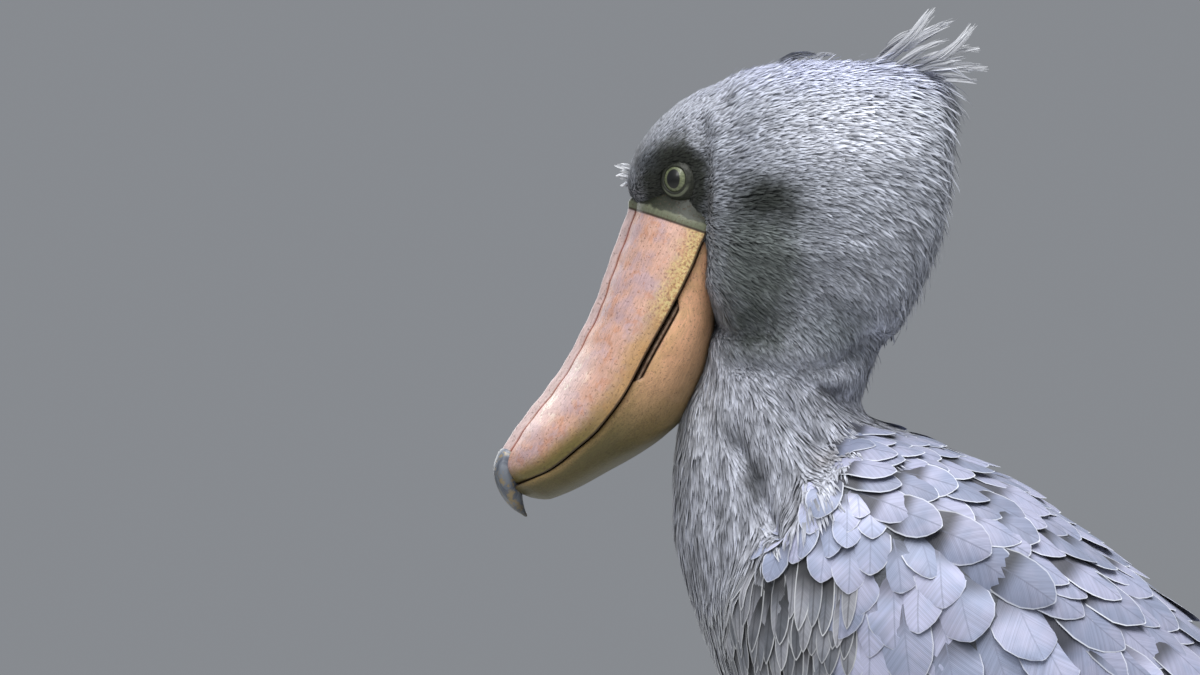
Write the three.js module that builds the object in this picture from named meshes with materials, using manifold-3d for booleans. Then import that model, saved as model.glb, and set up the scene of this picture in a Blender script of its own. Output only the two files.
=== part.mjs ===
// A life-size standing shoebill, neck drawn in and bill resting over the breast.
// Millimetres, +Z up, floor at Z = 0. The bird faces -Y and its left side is +X.
import * as THREE from 'three';
import { ParametricGeometry } from 'three/addons/geometries/ParametricGeometry.js';
import { mergeVertices } from 'three/addons/utils/BufferGeometryUtils.js';
import Module from 'manifold-3d';

const wasm = await Module();
wasm.setup();

// Driving dimensions
const GAP = 0.35;
const FAR = 2000;
const BILL_BASE = new THREE.Vector3(0, -214, 979);
const BILL_LEAN = 30.8; // degrees that the bill's length stands off the vertical
const BODY_START = new THREE.Vector3(0, -200, 740);
const BODY_SLOPE = 38; // degrees that the back falls towards the tail
const EYE_RADIUS = 12;
const EYE_SPOT = new THREE.Vector3(46, -213, 1001);
const EYE_TURN = 33; // degrees that each eye looks forward of straight sideways
const EYE_PROUD = 0.6;
const STANCE_HALF = 62; // half the distance between the feet
const STRIDE = 12; // how far each foot stands ahead of or behind the middle
const FOOT_Y = -6;
const HEEL = { y: 22, z: 262 };
const SHANK_TOP = { y: -14, z: 352 };
const THIGH_TOP = { y: -18, z: 586 };
const KNUCKLE_HEIGHT = 20;
const TOES = [
  { name: 'middle', length: 150, turn: 0, thick: 13 },
  { name: 'inner', length: 116, turn: -21, thick: 11.5 },
  { name: 'outer', length: 126, turn: 31, thick: 11.5 },
  { name: 'hind', length: 74, turn: 172, thick: 11 },
];
const CLAW_LENGTH = 22;

const COLOURS = {
  down: 0xa3a7b2,
  wing: 0x8a93a3,
  dark: 0x565b66,
  bill: 0xc99a82,
  nail: 0x7d7d86,
  eye: 0xa9b08a,
  leg: 0x45474c,
};

/** Monotone cubic curve through rows of [place, value, value, ...]: it never swings past a row. */
function through(rows) {
  const slope = (c, i) => (rows[i + 1][c] - rows[i][c]) / (rows[i + 1][0] - rows[i][0]);
  const last = rows.length - 1;
  const tangents = rows.map((row, i) =>
    row.map((_, c) => {
      if (c === 0) return 0;
      if (i === 0) return slope(c, 0);
      if (i === last) return slope(c, last - 1);
      const [before, after] = [slope(c, i - 1), slope(c, i)];
      return before * after <= 0 ? 0 : (2 * before * after) / (before + after);
    })
  );
  return (x) => {
    const held = THREE.MathUtils.clamp(x, rows[0][0], rows[last][0]);
    let i = 0;
    while (i < last - 1 && held > rows[i + 1][0]) i += 1;
    const span = rows[i + 1][0] - rows[i][0];
    const t = (held - rows[i][0]) / span;
    return rows[i].slice(1).map((start, k) => {
      const c = k + 1;
      const end = rows[i + 1][c];
      const ease = t * t * (3 - 2 * t);
      const leave = t * (1 - t) * (1 - t) * tangents[i][c];
      const arrive = t * t * (t - 1) * tangents[i + 1][c];
      return start + (end - start) * ease + span * (leave + arrive);
    });
  };
}

/** The solid inside a closed surface, with pole and seam points merged. */
function solid(geometry) {
  const bare = new THREE.BufferGeometry();
  bare.setAttribute('position', geometry.getAttribute('position'));
  bare.setIndex(geometry.index);
  const merged = mergeVertices(bare, 1e-3);
  const all = merged.index.array;
  const kept = [];
  for (let i = 0; i < all.length; i += 3) {
    const [a, b, c] = [all[i], all[i + 1], all[i + 2]];
    if (a !== b && b !== c && c !== a) kept.push(a, b, c);
  }
  const build = (corners) =>
    new wasm.Manifold(
      new wasm.Mesh({
        numProp: 3,
        vertProperties: merged.attributes.position.array,
        triVerts: Uint32Array.from(corners),
      })
    );
  const made = build(kept);
  return made.volume() > 0 ? made : build(kept.reverse());
}

/**
 * A closed body made of sections along its length, from one rounded end to the other.
 * section(s) gives the middle of the section at s millimetres, the directions across and up,
 * the reach each side, the reach high and low of the middle, and how square it is (2 is an ellipse).
 */
function body({ from, to, section, sides = 24, steps = 18, round = [10, 10], grow = 0 }) {
  const surface = (around, along, target) => {
    const far = (1 - Math.cos(Math.PI * along)) / 2;
    const held = from + (to - from) * far;
    const s = held + grow * (2 * far - 1);
    const { middle, across, up, side, high, low, square = 2 } = section(held, s);
    const cap = (reach, depth) =>
      reach >= depth ? 1 : Math.sqrt(Math.max(0, 1 - (1 - reach / depth) ** 2));
    const full = cap(held - from, round[0]) * cap(to - held, round[1]);
    const angle = around * 2 * Math.PI;
    const bend = (v) => Math.sign(v) * Math.abs(v) ** (2 / square);
    const x = bend(Math.cos(angle)) * (side + grow) * full;
    const rise = bend(Math.sin(angle));
    const y = rise * ((rise > 0 ? high : low) + grow) * full;
    target.copy(middle).addScaledVector(across, x).addScaledVector(up, y);
  };
  return solid(new ParametricGeometry(surface, sides, steps));
}

const X_AXIS = new THREE.Vector3(1, 0, 0);
const Y_AXIS = new THREE.Vector3(0, 1, 0);
const Z_AXIS = new THREE.Vector3(0, 0, 1);

/** A section rule for a body whose length runs straight along an axis from an origin. */
function straight(origin, axis, up, shape) {
  return (held, s) => {
    const { top, bottom, side, square } = shape(held);
    return {
      middle: origin.clone().addScaledVector(axis, s).addScaledVector(up, (top + bottom) / 2),
      across: X_AXIS,
      up,
      side,
      high: (top - bottom) / 2,
      low: (top - bottom) / 2,
      square,
    };
  };
}

/** A section rule for a limb that follows a curve, with its reach given along the curve's length. */
function following(curve, shape, flatways = Z_AXIS) {
  const length = curve.getLength();
  return (held, s) => {
    const t = THREE.MathUtils.clamp(s / length, 0, 1);
    const along = curve.getTangentAt(t);
    const across = new THREE.Vector3().crossVectors(flatways, along).normalize();
    const up = new THREE.Vector3().crossVectors(along, across).normalize();
    const middle = curve.getPointAt(t).addScaledVector(along, s - t * length);
    const [side, high, low = high] = shape(held);
    return { middle, across, up, side, high, low };
  };
}

/** Half of space, on the side that the arrow points to, with the border moved along the arrow. */
function halfSpace(point, arrow, moved = 0) {
  const box = new THREE.BoxGeometry(FAR, FAR, FAR);
  box.translate(0, 0, FAR / 2 + moved);
  box.applyQuaternion(new THREE.Quaternion().setFromUnitVectors(Z_AXIS, arrow));
  box.translate(point.x, point.y, point.z);
  return solid(box);
}

/** A slab standing across the bird's length, with an outline drawn in the side view as [y, z]. */
function sideSlab(points, inner, outer) {
  const outline = new THREE.Shape();
  outline.moveTo(...points[0]);
  outline.splineThru([...points.slice(1), points[0]].map(([y, z]) => new THREE.Vector2(y, z)));
  const slab = new THREE.ExtrudeGeometry(outline, {
    depth: outer - inner,
    steps: 1,
    curveSegments: 4,
    bevelEnabled: false,
  });
  slab.applyMatrix4(new THREE.Matrix4().makeBasis(Y_AXIS, Z_AXIS, X_AXIS));
  slab.translate(inner, 0, 0);
  return solid(slab);
}

/** The same solid on the bird's other side. */
function mirrored(made) {
  return made.mirror([1, 0, 0]);
}

// Head: upright sections from the brow over the bill back to the nape.
// Each row is [y, crown height, underside height, half width, squareness].
const headRows = through([
  [-243.5, 1009, 990, 24, 2],
  [-237, 1021, 984, 32, 2],
  [-227.5, 1035, 979, 39, 2],
  [-216, 1047, 976, 45, 2.05],
  [-201.5, 1057, 972, 50, 2.1],
  [-192.5, 1062, 968, 53.5, 2.15],
  [-188, 1064.5, 906, 59, 2.2],
  [-181, 1068, 890, 64, 2.2],
  [-169, 1072.5, 887, 70, 2.2],
  [-143, 1079, 887, 76, 2.15],
  [-117, 1081, 888, 78, 2.1],
  [-91, 1079, 889, 76, 2.1],
  [-77, 1077.5, 892, 73, 2.1],
  [-62, 1074, 906, 67, 2.1],
  [-54, 1070, 924, 62, 2.15],
  [-45.5, 1066, 940, 56, 2.2],
  [-36, 1059, 968, 46, 2.3],
  [-29.5, 1052, 994, 34, 2.3],
]);
const headShape = (y) => {
  const [top, bottom, side, square] = headRows(y);
  return { top, bottom, side, square };
};
const headSection = straight(new THREE.Vector3(), Y_AXIS, Z_AXIS, headShape);
const headBody = (grow = 0) =>
  body({ from: -243.5, to: -29.5, section: headSection, sides: 20, steps: 15, round: [5, 7], grow });

// Neck and breast: level sections from inside the head down into the trunk.
// Each row is [height, front y, back y, half width, squareness].
const neckRows = through([
  [600, -128, 20, 76, 2],
  [640, -165, 34, 86, 2.1],
  [679, -187, 34, 93, 2.1],
  [712, -198, 26, 95, 2.1],
  [744, -210.5, 12, 93, 2.1],
  [777, -216.5, -8, 86, 2.1],
  [809, -216, -40, 77, 2.1],
  [838, -213.5, -82, 66, 2.1],
  [858, -210, -89.5, 61, 2.1],
  [874, -203, -87.5, 60, 2.1],
  [890, -192, -77.5, 61, 2.1],
  [907, -178, -64, 62, 2.1],
  [940, -160, -62, 58, 2.1],
]);
const neckSection = (held, z) => {
  const [front, back, side, square] = neckRows(held);
  const depth = (back - front) / 2;
  const middle = new THREE.Vector3(0, (front + back) / 2, z);
  return { middle, across: X_AXIS, up: Y_AXIS, side, high: depth, low: depth, square };
};
const neckBody = (grow = 0) =>
  body({ from: 600, to: 940, section: neckSection, sides: 18, steps: 12, round: [60, 40], grow });

// Trunk: sections across the sloping back. Each row is [length along, top, underside, half width].
const slope = THREE.MathUtils.degToRad(BODY_SLOPE);
const BACKWARD = new THREE.Vector3(0, Math.cos(slope), -Math.sin(slope));
const UPWARD = new THREE.Vector3(0, Math.sin(slope), Math.cos(slope));
const bodyShape = (rows) => (s) => {
  const [top, bottom, side] = rows(s);
  return { top, bottom, side, square: 2.15 };
};
const trunkRows = through([
  [-24, 118, 8, 66],
  [17, 150, -22, 88],
  [86, 163, -54, 104],
  [155, 172, -71, 112],
  [204, 170, -77, 112],
  [272, 164, -77, 106],
  [368, 150, -64, 88],
  [440, 132, -48, 66],
  [503, 112, -24, 46],
  [560, 94, 2, 34],
  [600, 86, 26, 24],
]);
const trunkBody = (grow = 0) =>
  body({
    from: -24,
    to: 600,
    section: straight(BODY_START, BACKWARD, UPWARD, bodyShape(trunkRows)),
    sides: 18,
    steps: 12,
    round: [46, 30],
    grow,
  });

// Mantle: the feathered strip of the back that shows between the folded wings.
const mantleRows = through([
  [4, 156, 60, 58],
  [40, 166, 70, 56],
  [86, 174.5, 80, 50],
  [155, 185.5, 90, 44],
  [204, 185, 90, 40],
  [272, 182.5, 90, 33],
  [368, 174.5, 90, 20],
  [430, 166, 90, 9],
]);
const mantleBody = (grow = 0) =>
  body({
    from: 4,
    to: 430,
    section: straight(BODY_START, BACKWARD, UPWARD, bodyShape(mantleRows)),
    sides: 12,
    steps: 8,
    round: [30, 40],
    grow,
  });

// Folded wings: a shell round the trunk, kept inside the wing's outline in the side view.
const wingRows = through([
  [-8, 130, -10, 88],
  [20, 153, -30, 112],
  [86, 174.5, -58, 132],
  [155, 186, -74, 140],
  [204, 185.5, -80, 142],
  [272, 183, -80, 138],
  [368, 175, -64, 120],
  [440, 165, -44, 99],
  [514, 151, -16, 75],
  [580, 138, 14, 54],
  [652, 115, 46, 33],
  [706, 98, 68, 17],
]);
const WING_OUTLINE = [
  [-112, 850],
  [-150, 812],
  [-170, 770],
  [-182, 706],
  [-174, 656],
  [-138, 612],
  [-50, 562],
  [60, 497],
  [180, 430],
  [290, 382],
  [384, 350],
  [404, 372],
  [400, 430],
  [330, 560],
  [200, 700],
  [60, 830],
  [-60, 880],
];
// The wing's lower edge runs along the side of the belly, and leaves the underside free.
const BELLY_SIDE = BODY_START.clone().addScaledVector(UPWARD, -70).setX(72);
const BELLY_ARROW = UPWARD.clone().multiplyScalar(0.45).setX(0.9).normalize();
// The line where the long flight feathers come out from under the coverts.
const FLIGHT_POINT = new THREE.Vector3(0, 178, 560);
const FLIGHT_ARROW = new THREE.Vector3(0, 0.93, -0.37).normalize();
const wingBody = (grow = 0) =>
  body({
    from: -8,
    to: 706,
    section: straight(BODY_START, BACKWARD, UPWARD, bodyShape(wingRows)),
    sides: 20,
    steps: 14,
    round: [40, 26],
    grow,
  });

// Tail: a flat fan of twelve feathers under the wing tips.
const tailRows = through([
  [520, 74, 14, 36],
  [560, 66, 22, 42],
  [610, 60, 36, 47],
  [660, 60, 48, 53],
  [722, 58, 53, 60],
]);
const tailBody = (grow = 0) =>
  body({
    from: 520,
    to: 722,
    section: straight(BODY_START, BACKWARD, UPWARD, bodyShape(tailRows)),
    sides: 14,
    steps: 7,
    round: [12, 4],
    grow,
  });

// Bill: sections across its length, from under the brow to the hooked nail.
const lean = THREE.MathUtils.degToRad(BILL_LEAN);
const BILL_ALONG = new THREE.Vector3(0, -Math.sin(lean), -Math.cos(lean));
const BILL_UP = new THREE.Vector3(0, -Math.cos(lean), Math.sin(lean));
// Each row is [length along, ridge height, mouth line height, half width].
const upperRows = through([
  [-22, 30, -24, 44],
  [8, 26, -26.6, 50],
  [24, 23, -29, 52],
  [51, 17.6, -31, 53.5],
  [88, 11.3, -32.2, 54],
  [114, 10, -33.6, 53],
  [142, 11.6, -31, 49.5],
  [163, 14.6, -24.8, 44],
  [182, 16, -17.5, 36],
  [194, 14.8, -9.5, 27],
  [203, 10.5, -3, 17],
]);
const lowerRows = through([
  [-10, -32, 40],
  [20, -47, 45],
  [54, -65, 49.5],
  [80, -72.5, 51],
  [108, -75, 50],
  [126, -70.5, 48],
  [144, -62.5, 45.5],
  [165, -50.5, 41],
  [186, -38, 33],
  [199, -28, 24],
  [207, -20, 14],
]);
const MOUTH_SLIT = { at: 70, reach: 27, depth: 3.4 }; // where the bill's edges stand apart
const mouthLine = (s) => upperRows(s)[1];
const slitAt = (s) => {
  const near = THREE.MathUtils.clamp(1 - Math.abs(s - MOUTH_SLIT.at) / MOUTH_SLIT.reach, 0, 1);
  return MOUTH_SLIT.depth * near * near * (3 - 2 * near);
};
/** Sections hung from the mouth line: the upper half arches over it, the lower one hangs below. */
function jaw(shape) {
  return (held, s) => {
    const { line, high, low, side, square } = shape(held);
    const middle = BILL_BASE.clone().addScaledVector(BILL_ALONG, s).addScaledVector(BILL_UP, line);
    return { middle, across: X_AXIS, up: BILL_UP, side, high, low, square };
  };
}
const upperJaw = (grow = 0) =>
  body({
    from: -22,
    to: 203,
    section: jaw((s) => {
      const [ridge, line, side] = upperRows(s);
      return { line, high: ridge - line, low: 1.2, side, square: 2.3 };
    }),
    sides: 16,
    steps: 11,
    round: [4, 9],
    grow,
  });
const lowerJaw = (grow = 0) =>
  body({
    from: -10,
    to: 207,
    section: jaw((s) => {
      const [under, side] = lowerRows(s);
      const line = mouthLine(s) - 1.6 - slitAt(s);
      return { line, high: 0.4, low: Math.max(line - under, 3), side, square: 2.35 };
    }),
    sides: 16,
    steps: 11,
    round: [4, 8],
    grow,
  });

/** A point given as lengths along and above the bill's axis. */
const onBill = (along, above) =>
  BILL_BASE.clone().addScaledVector(BILL_ALONG, along).addScaledVector(BILL_UP, above);
const nailCurve = new THREE.CatmullRomCurve3([
  onBill(186, 11),
  onBill(197, 8.6),
  onBill(206, 1.2),
  onBill(212.5, -9),
  onBill(217, -20),
]);
const NAIL_LENGTH = 43; // along its curve
const nailRows = through([
  [0, 11.5, 5.5, 3],
  [14, 12.5, 6.4, 4],
  [26, 10.5, 5.4, 4],
  [36, 6, 3.6, 3],
  [NAIL_LENGTH, 1.6, 1.2, 1.2],
]);
const nailBody = (grow = 0) => {
  const curve = nailCurve;
  const length = curve.getLength();
  const section = (held, s) => {
    const along = curve.getTangentAt(THREE.MathUtils.clamp(s / length, 0, 1));
    const up = new THREE.Vector3().crossVectors(along, X_AXIS).normalize();
    const t = THREE.MathUtils.clamp(s / length, 0, 1);
    const middle = curve.getPointAt(t).addScaledVector(along, s - t * length);
    const [side, outer, inner] = nailRows((held / length) * NAIL_LENGTH);
    const outward = up.dot(BILL_UP) > 0 ? 1 : -1;
    up.multiplyScalar(outward);
    return { middle, across: X_AXIS, up, side, high: outer, low: inner, square: 2.1 };
  };
  return body({ from: 0, to: length, section, sides: 12, steps: 9, round: [3, 2], grow });
};

// Crest: loose plumes at the back of the crown, on one low tussock.
// Each plume is [sideways root, root back, root up, tip sideways, tip y, tip z, bow].
const PLUMES = [
  [4, -76, 1076, 8, -42.5, 1113.5, -3],
  [-5, -70, 1076, -8, -27.5, 1106.5, 3],
  [6, -60, 1070, 12, -16, 1102.5, -6],
  [-3, -58, 1066, -10, -6.5, 1074.5, 2],
  [8, -62, 1068, 4, -12, 1085, 4],
];
function crestPlume([rootX, rootY, rootZ, tipX, tipY, tipZ, bow]) {
  const root = new THREE.Vector3(rootX, rootY, rootZ);
  const tip = new THREE.Vector3(tipX, tipY, tipZ);
  const half = root.clone().lerp(tip, 0.55).add(new THREE.Vector3(0, -bow, bow));
  const curve = new THREE.QuadraticBezierCurve3(root, half, tip);
  const length = curve.getLength();
  const width = through([[0, 3.4, 1.8], [length * 0.4, 6.4, 1.5], [length, 2.2, 0.7]]);
  const section = following(curve, width, X_AXIS);
  return body({ from: 0, to: length, section, sides: 6, steps: 4, round: [3, 4] });
}
const tussock = (grow = 0) =>
  body({
    from: -98,
    to: -40,
    section: straight(new THREE.Vector3(), Y_AXIS, Z_AXIS, () => ({
      top: 1083,
      bottom: 1050,
      side: 20,
      square: 2,
    })),
    sides: 10,
    steps: 5,
    round: [34, 20],
    grow,
  });

/** An upright limb between two places in the side view, at one distance from the middle. */
function limb({ x, top, bottom, rows, sides, steps, round, grow = 0, push = 0 }) {
  const start = new THREE.Vector3(x, top.y + push, top.z);
  const end = new THREE.Vector3(x, bottom.y + push, bottom.z);
  const curve = new THREE.LineCurve3(start, end);
  const section = following(curve, through(rows), Y_AXIS);
  return body({ from: 0, to: curve.getLength(), section, sides, steps, round, grow });
}

const thigh = (push, grow = 0) =>
  limb({
    x: STANCE_HALF,
    top: THIGH_TOP,
    bottom: SHANK_TOP,
    rows: [[0, 44, 58], [70, 43, 54], [130, 34, 41], [190, 23, 27], [236, 17.5, 19]],
    sides: 12,
    steps: 8,
    round: [30, 8],
    grow,
    push,
  });
const shank = (push, grow = 0) =>
  limb({
    x: STANCE_HALF,
    top: { y: SHANK_TOP.y - 6, z: SHANK_TOP.z + 20 },
    bottom: HEEL,
    rows: [[0, 9.5, 11], [60, 9, 10.5], [100, 11, 13]],
    sides: 10,
    steps: 4,
    round: [4, 8],
    grow,
    push,
  });
const KNUCKLE = { y: FOOT_Y, z: KNUCKLE_HEIGHT };
const tarsus = (push, grow = 0) =>
  limb({
    x: STANCE_HALF,
    top: { y: HEEL.y + 1, z: HEEL.z + 12 },
    bottom: { y: KNUCKLE.y, z: -8 },
    rows: [
      [0, 11.5, 14],
      [16, 13.5, 17],
      [40, 8.4, 11],
      [120, 7.2, 9],
      [215, 8.4, 10],
      [242, 12, 13.5],
      [262, 14, 16],
      [282, 13.5, 15.5],
    ],
    sides: 10,
    steps: 10,
    round: [10, 4],
    grow,
    push,
  }).intersect(halfSpace(new THREE.Vector3(), Z_AXIS));

/** A toe lying on the floor, with a swelling over each joint and a flat underside. */
function toe({ length, turn, thick }, push, grow = 0) {
  const angle = THREE.MathUtils.degToRad(turn);
  const forward = new THREE.Vector3(Math.sin(angle), -Math.cos(angle), 0);
  const from = new THREE.Vector3(STANCE_HALF, KNUCKLE.y + push, thick * 0.42);
  const to = from.clone().addScaledVector(forward, length);
  to.z = thick * 0.3;
  const curve = new THREE.LineCurve3(from, to);
  const section = (held, s) => {
    const swelling = 1 + 0.1 * Math.cos((held / 34) * 2 * Math.PI);
    const taper = 1 - 0.34 * (held / length);
    const reach = (thick / 2) * taper * swelling;
    return {
      middle: from.clone().lerp(to, s / length),
      across: new THREE.Vector3().crossVectors(Z_AXIS, forward),
      up: Z_AXIS,
      side: reach,
      high: reach * 1.15,
      low: reach * 1.5,
    };
  };
  return body({ from: 0, to: curve.getLength(), section, sides: 8, steps: 7, round: [2, 5], grow })
    .intersect(halfSpace(new THREE.Vector3(), Z_AXIS));
}
function claw({ length, turn, thick }, push) {
  const angle = THREE.MathUtils.degToRad(turn);
  const forward = new THREE.Vector3(Math.sin(angle), -Math.cos(angle), 0);
  const root = new THREE.Vector3(STANCE_HALF, KNUCKLE.y + push, thick * 0.46)
    .addScaledVector(forward, length - 4);
  const knee = root.clone().addScaledVector(forward, CLAW_LENGTH * 0.62);
  knee.z += 3.4;
  const tip = root.clone().addScaledVector(forward, CLAW_LENGTH);
  tip.z = 1.4;
  const curve = new THREE.QuadraticBezierCurve3(root, knee, tip);
  const shape = through([[0, 3.4, 3.8], [12, 2.5, 2.9], [CLAW_LENGTH, 0.8, 0.9]]);
  const section = following(curve, shape);
  return body({ from: 0, to: curve.getLength(), section, sides: 6, steps: 4, round: [2, 1] });
}

const SIDES = [
  ['left', (made) => made],
  ['right', mirrored],
];
const bird = new THREE.Group();

/** Adds a solid to the bird as a named piece of one colour. */
function piece(name, made, colour, roughness = 0.85) {
  const { vertProperties, triVerts } = made.getMesh();
  const geometry = new THREE.BufferGeometry();
  geometry.setAttribute('position', new THREE.BufferAttribute(vertProperties, 3));
  geometry.setIndex(new THREE.BufferAttribute(triVerts, 1));
  geometry.computeVertexNormals();
  const material = new THREE.MeshStandardMaterial({ color: colour, roughness, metalness: 0 });
  const mesh = new THREE.Mesh(geometry, material);
  mesh.name = name;
  bird.add(mesh);
}

/** Adds a left piece and its mirror image on the right. */
function pair(name, made, colour, roughness) {
  piece(`${name}_left`, made, colour, roughness);
  piece(`${name}_right`, mirrored(made), colour, roughness);
}

/** A solid with the room for its neighbours taken out. */
function without(made, ...rooms) {
  return rooms.reduce((left, room) => left.subtract(room), made);
}

/** The largest separate lump of a solid, without slivers left by a cut. */
function largest(made) {
  return made.decompose().reduce((a, b) => (a.volume() > b.volume() ? a : b));
}

// Eyes, set into the face behind the bill.
const eyeTurn = THREE.MathUtils.degToRad(EYE_TURN);
const eyeLook = new THREE.Vector3(Math.cos(eyeTurn), -Math.sin(eyeTurn), 0);
const eyeMiddle = EYE_SPOT.clone().addScaledVector(eyeLook, EYE_PROUD - EYE_RADIUS);
const eyeball = (grow = 0) =>
  solid(new THREE.SphereGeometry(EYE_RADIUS + grow, 12, 8)
    .translate(eyeMiddle.x, eyeMiddle.y, eyeMiddle.z));
pair('eye', eyeball(), COLOURS.eye, 0.15);

// The head overlaps the bill's root and the top of the neck.
const bothEyes = eyeball(GAP).add(mirrored(eyeball(GAP)));
const head = headBody();
piece('head', largest(head.subtract(bothEyes)), COLOURS.down);
const headRoom = headBody(GAP);
const nailRoom = nailBody(GAP);
const upper = without(upperJaw(), headRoom, nailRoom, bothEyes);
piece('bill_upper', largest(upper), COLOURS.bill, 0.45);
const neckRoom = neckBody(GAP);
const lower = without(lowerJaw(), headRoom, nailRoom, neckRoom, upperJaw(GAP));
piece('bill_lower', largest(lower), COLOURS.bill, 0.5);
piece('bill_nail', largest(nailBody()), COLOURS.nail, 0.4);
const plumes = PLUMES.map(crestPlume).reduce((a, b) => a.add(b), tussock());
piece('crest', largest(plumes.subtract(headRoom)), COLOURS.down);

// Neck in two lengths, parted by slanting cuts that rise towards the nape.
const throat = new THREE.Vector3(0, -213, 846);
const collar = new THREE.Vector3(0, -216, 812.5);
const throatArrow = new THREE.Vector3(0, -0.12, 1).normalize();
const collarArrow = new THREE.Vector3(0, -0.294, 1).normalize();
const trunkRoom = trunkBody(GAP).add(mantleBody(GAP));
const neck = neckBody().subtract(headRoom).subtract(trunkRoom);
const aboveThroat = halfSpace(throat, throatArrow, GAP / 2);
const belowThroat = halfSpace(throat, throatArrow.clone().negate(), GAP / 2);
const aboveCollar = halfSpace(collar, collarArrow, GAP / 2);
const belowCollar = halfSpace(collar, collarArrow.clone().negate(), GAP / 2);
piece('neck_upper', largest(neck.intersect(aboveThroat)), COLOURS.down);
piece('neck_lower', largest(neck.intersect(belowThroat).intersect(aboveCollar)), COLOURS.down);
const breast = neckBody().intersect(belowCollar);
const wholeTrunk = breast.add(trunkBody()).add(mantleBody());
const tailRoom = tailBody(GAP);

// Each wing is a shell over the trunk, parted where the flight feathers come out.
const wingHull = (grow) =>
  wingBody(grow)
    .intersect(sideSlab(WING_OUTLINE, GAP / 2 - grow, 200))
    .intersect(halfSpace(BELLY_SIDE, BELLY_ARROW, -grow));
const inFront = halfSpace(FLIGHT_POINT, FLIGHT_ARROW.clone().negate(), GAP / 2);
const behind = halfSpace(FLIGHT_POINT, FLIGHT_ARROW, GAP / 2);
for (const [side, turned] of SIDES) {
  const wing = without(turned(wingHull(0)), trunkRoom, neckRoom, tailRoom);
  piece(`wing_${side}`, largest(wing.intersect(inFront)), COLOURS.wing);
  piece(`wing_flight_${side}`, largest(wing.intersect(behind)), COLOURS.dark);
}
piece('tail', largest(tailBody().subtract(trunkRoom)), COLOURS.dark);
piece('trunk', largest(wholeTrunk), COLOURS.down);

// Legs: the left foot stands a little ahead of the right one.
for (const [side, turned] of SIDES) {
  const push = side === 'left' ? -STRIDE : STRIDE;
  const room = turned(wingHull(GAP));
  const feathered = without(turned(thigh(push)), trunkRoom, neckRoom, room);
  const shankRoom = turned(shank(push, GAP));
  piece(`thigh_${side}`, largest(feathered.subtract(shankRoom)), COLOURS.down);
  const bare = without(shank(push), tarsus(push, GAP));
  piece(`shank_${side}`, turned(largest(bare)), COLOURS.leg, 0.6);
  piece(`tarsus_${side}`, turned(tarsus(push)), COLOURS.leg, 0.6);
  let taken = tarsus(push, GAP);
  for (const bone of TOES) {
    const lying = largest(without(toe(bone, push), taken));
    const nail = largest(without(claw(bone, push), toe(bone, push, GAP)));
    piece(`toe_${bone.name}_${side}`, turned(lying), COLOURS.leg, 0.6);
    piece(`claw_${bone.name}_${side}`, turned(nail), COLOURS.dark, 0.4);
    taken = taken.add(toe(bone, push, GAP));
  }
}

// The origin is the middle of the bird's box, at floor level.
const bounds = new THREE.Box3().setFromObject(bird, true);
const middle = bounds.getCenter(new THREE.Vector3());
bird.position.set(-middle.x, -middle.y, -bounds.min.z);

export default bird;
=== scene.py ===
"""A life-size shoebill, standing with its neck drawn in and its bill over its breast.

The skin, the plumage, the bill, the eyes and the legs are made here, round the solids of the frame.
Lengths are millimetres in the bird's own frame, which at() turns to metres in the frame's.
"""

import logging
import math
from collections.abc import Callable, Sequence
from dataclasses import dataclass, field
from enum import Enum

import bmesh
import bpy
import numpy as np
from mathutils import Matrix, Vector
from mathutils.bvhtree import BVHTree


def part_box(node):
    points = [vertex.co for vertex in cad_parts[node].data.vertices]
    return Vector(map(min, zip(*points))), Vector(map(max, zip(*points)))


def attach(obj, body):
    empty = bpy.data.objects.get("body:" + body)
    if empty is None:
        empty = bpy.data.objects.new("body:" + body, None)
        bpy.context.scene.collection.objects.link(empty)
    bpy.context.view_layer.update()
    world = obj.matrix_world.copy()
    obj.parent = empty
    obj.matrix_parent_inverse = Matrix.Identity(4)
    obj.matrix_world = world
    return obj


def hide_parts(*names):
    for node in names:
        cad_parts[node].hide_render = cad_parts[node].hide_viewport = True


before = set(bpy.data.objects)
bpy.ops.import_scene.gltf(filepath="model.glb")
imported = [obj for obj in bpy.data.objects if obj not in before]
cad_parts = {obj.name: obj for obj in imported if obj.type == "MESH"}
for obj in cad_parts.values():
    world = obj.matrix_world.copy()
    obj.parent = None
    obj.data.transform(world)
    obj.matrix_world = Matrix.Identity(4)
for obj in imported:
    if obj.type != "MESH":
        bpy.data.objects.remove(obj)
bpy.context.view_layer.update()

log = logging.getLogger("shoebill")
logging.basicConfig(level=logging.INFO, format="%(name)s: %(message)s")

MM = 0.001
SEED = 41
PATCH = 0.003  # width of a tuft's place on the bake map
BIG_PATCH = 0.018  # width of a flight or tail feather's place on it
Row = tuple[float, ...]
Socket = bpy.types.NodeSocket
Value = float | Socket
Colour = Row | Socket

# The bird's own frame is the one where the left eye's middle is here.
EYE_MIDDLE = Vector((36.44, -206.79, 1001.0))
EYE_RADIUS = 12.0
EYE_TURN = math.radians(33.0)
EYE_LOOK = Vector((math.cos(EYE_TURN), -math.sin(EYE_TURN), 0.0))
BILL_BASE = Vector((0.0, -214.0, 979.0))
BILL_LEAN = math.radians(30.8)
BILL_ALONG = Vector((0.0, -math.sin(BILL_LEAN), -math.cos(BILL_LEAN)))
BILL_UP = Vector((0.0, -math.cos(BILL_LEAN), math.sin(BILL_LEAN)))
PHOTO_SCALE = 0.65  # millimetres for each pixel of the photograph, at the bird's middle
PHOTO_ZERO = Vector((1000.0, 1720.0))  # pixel column of y = 0, pixel row of z = 0


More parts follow.
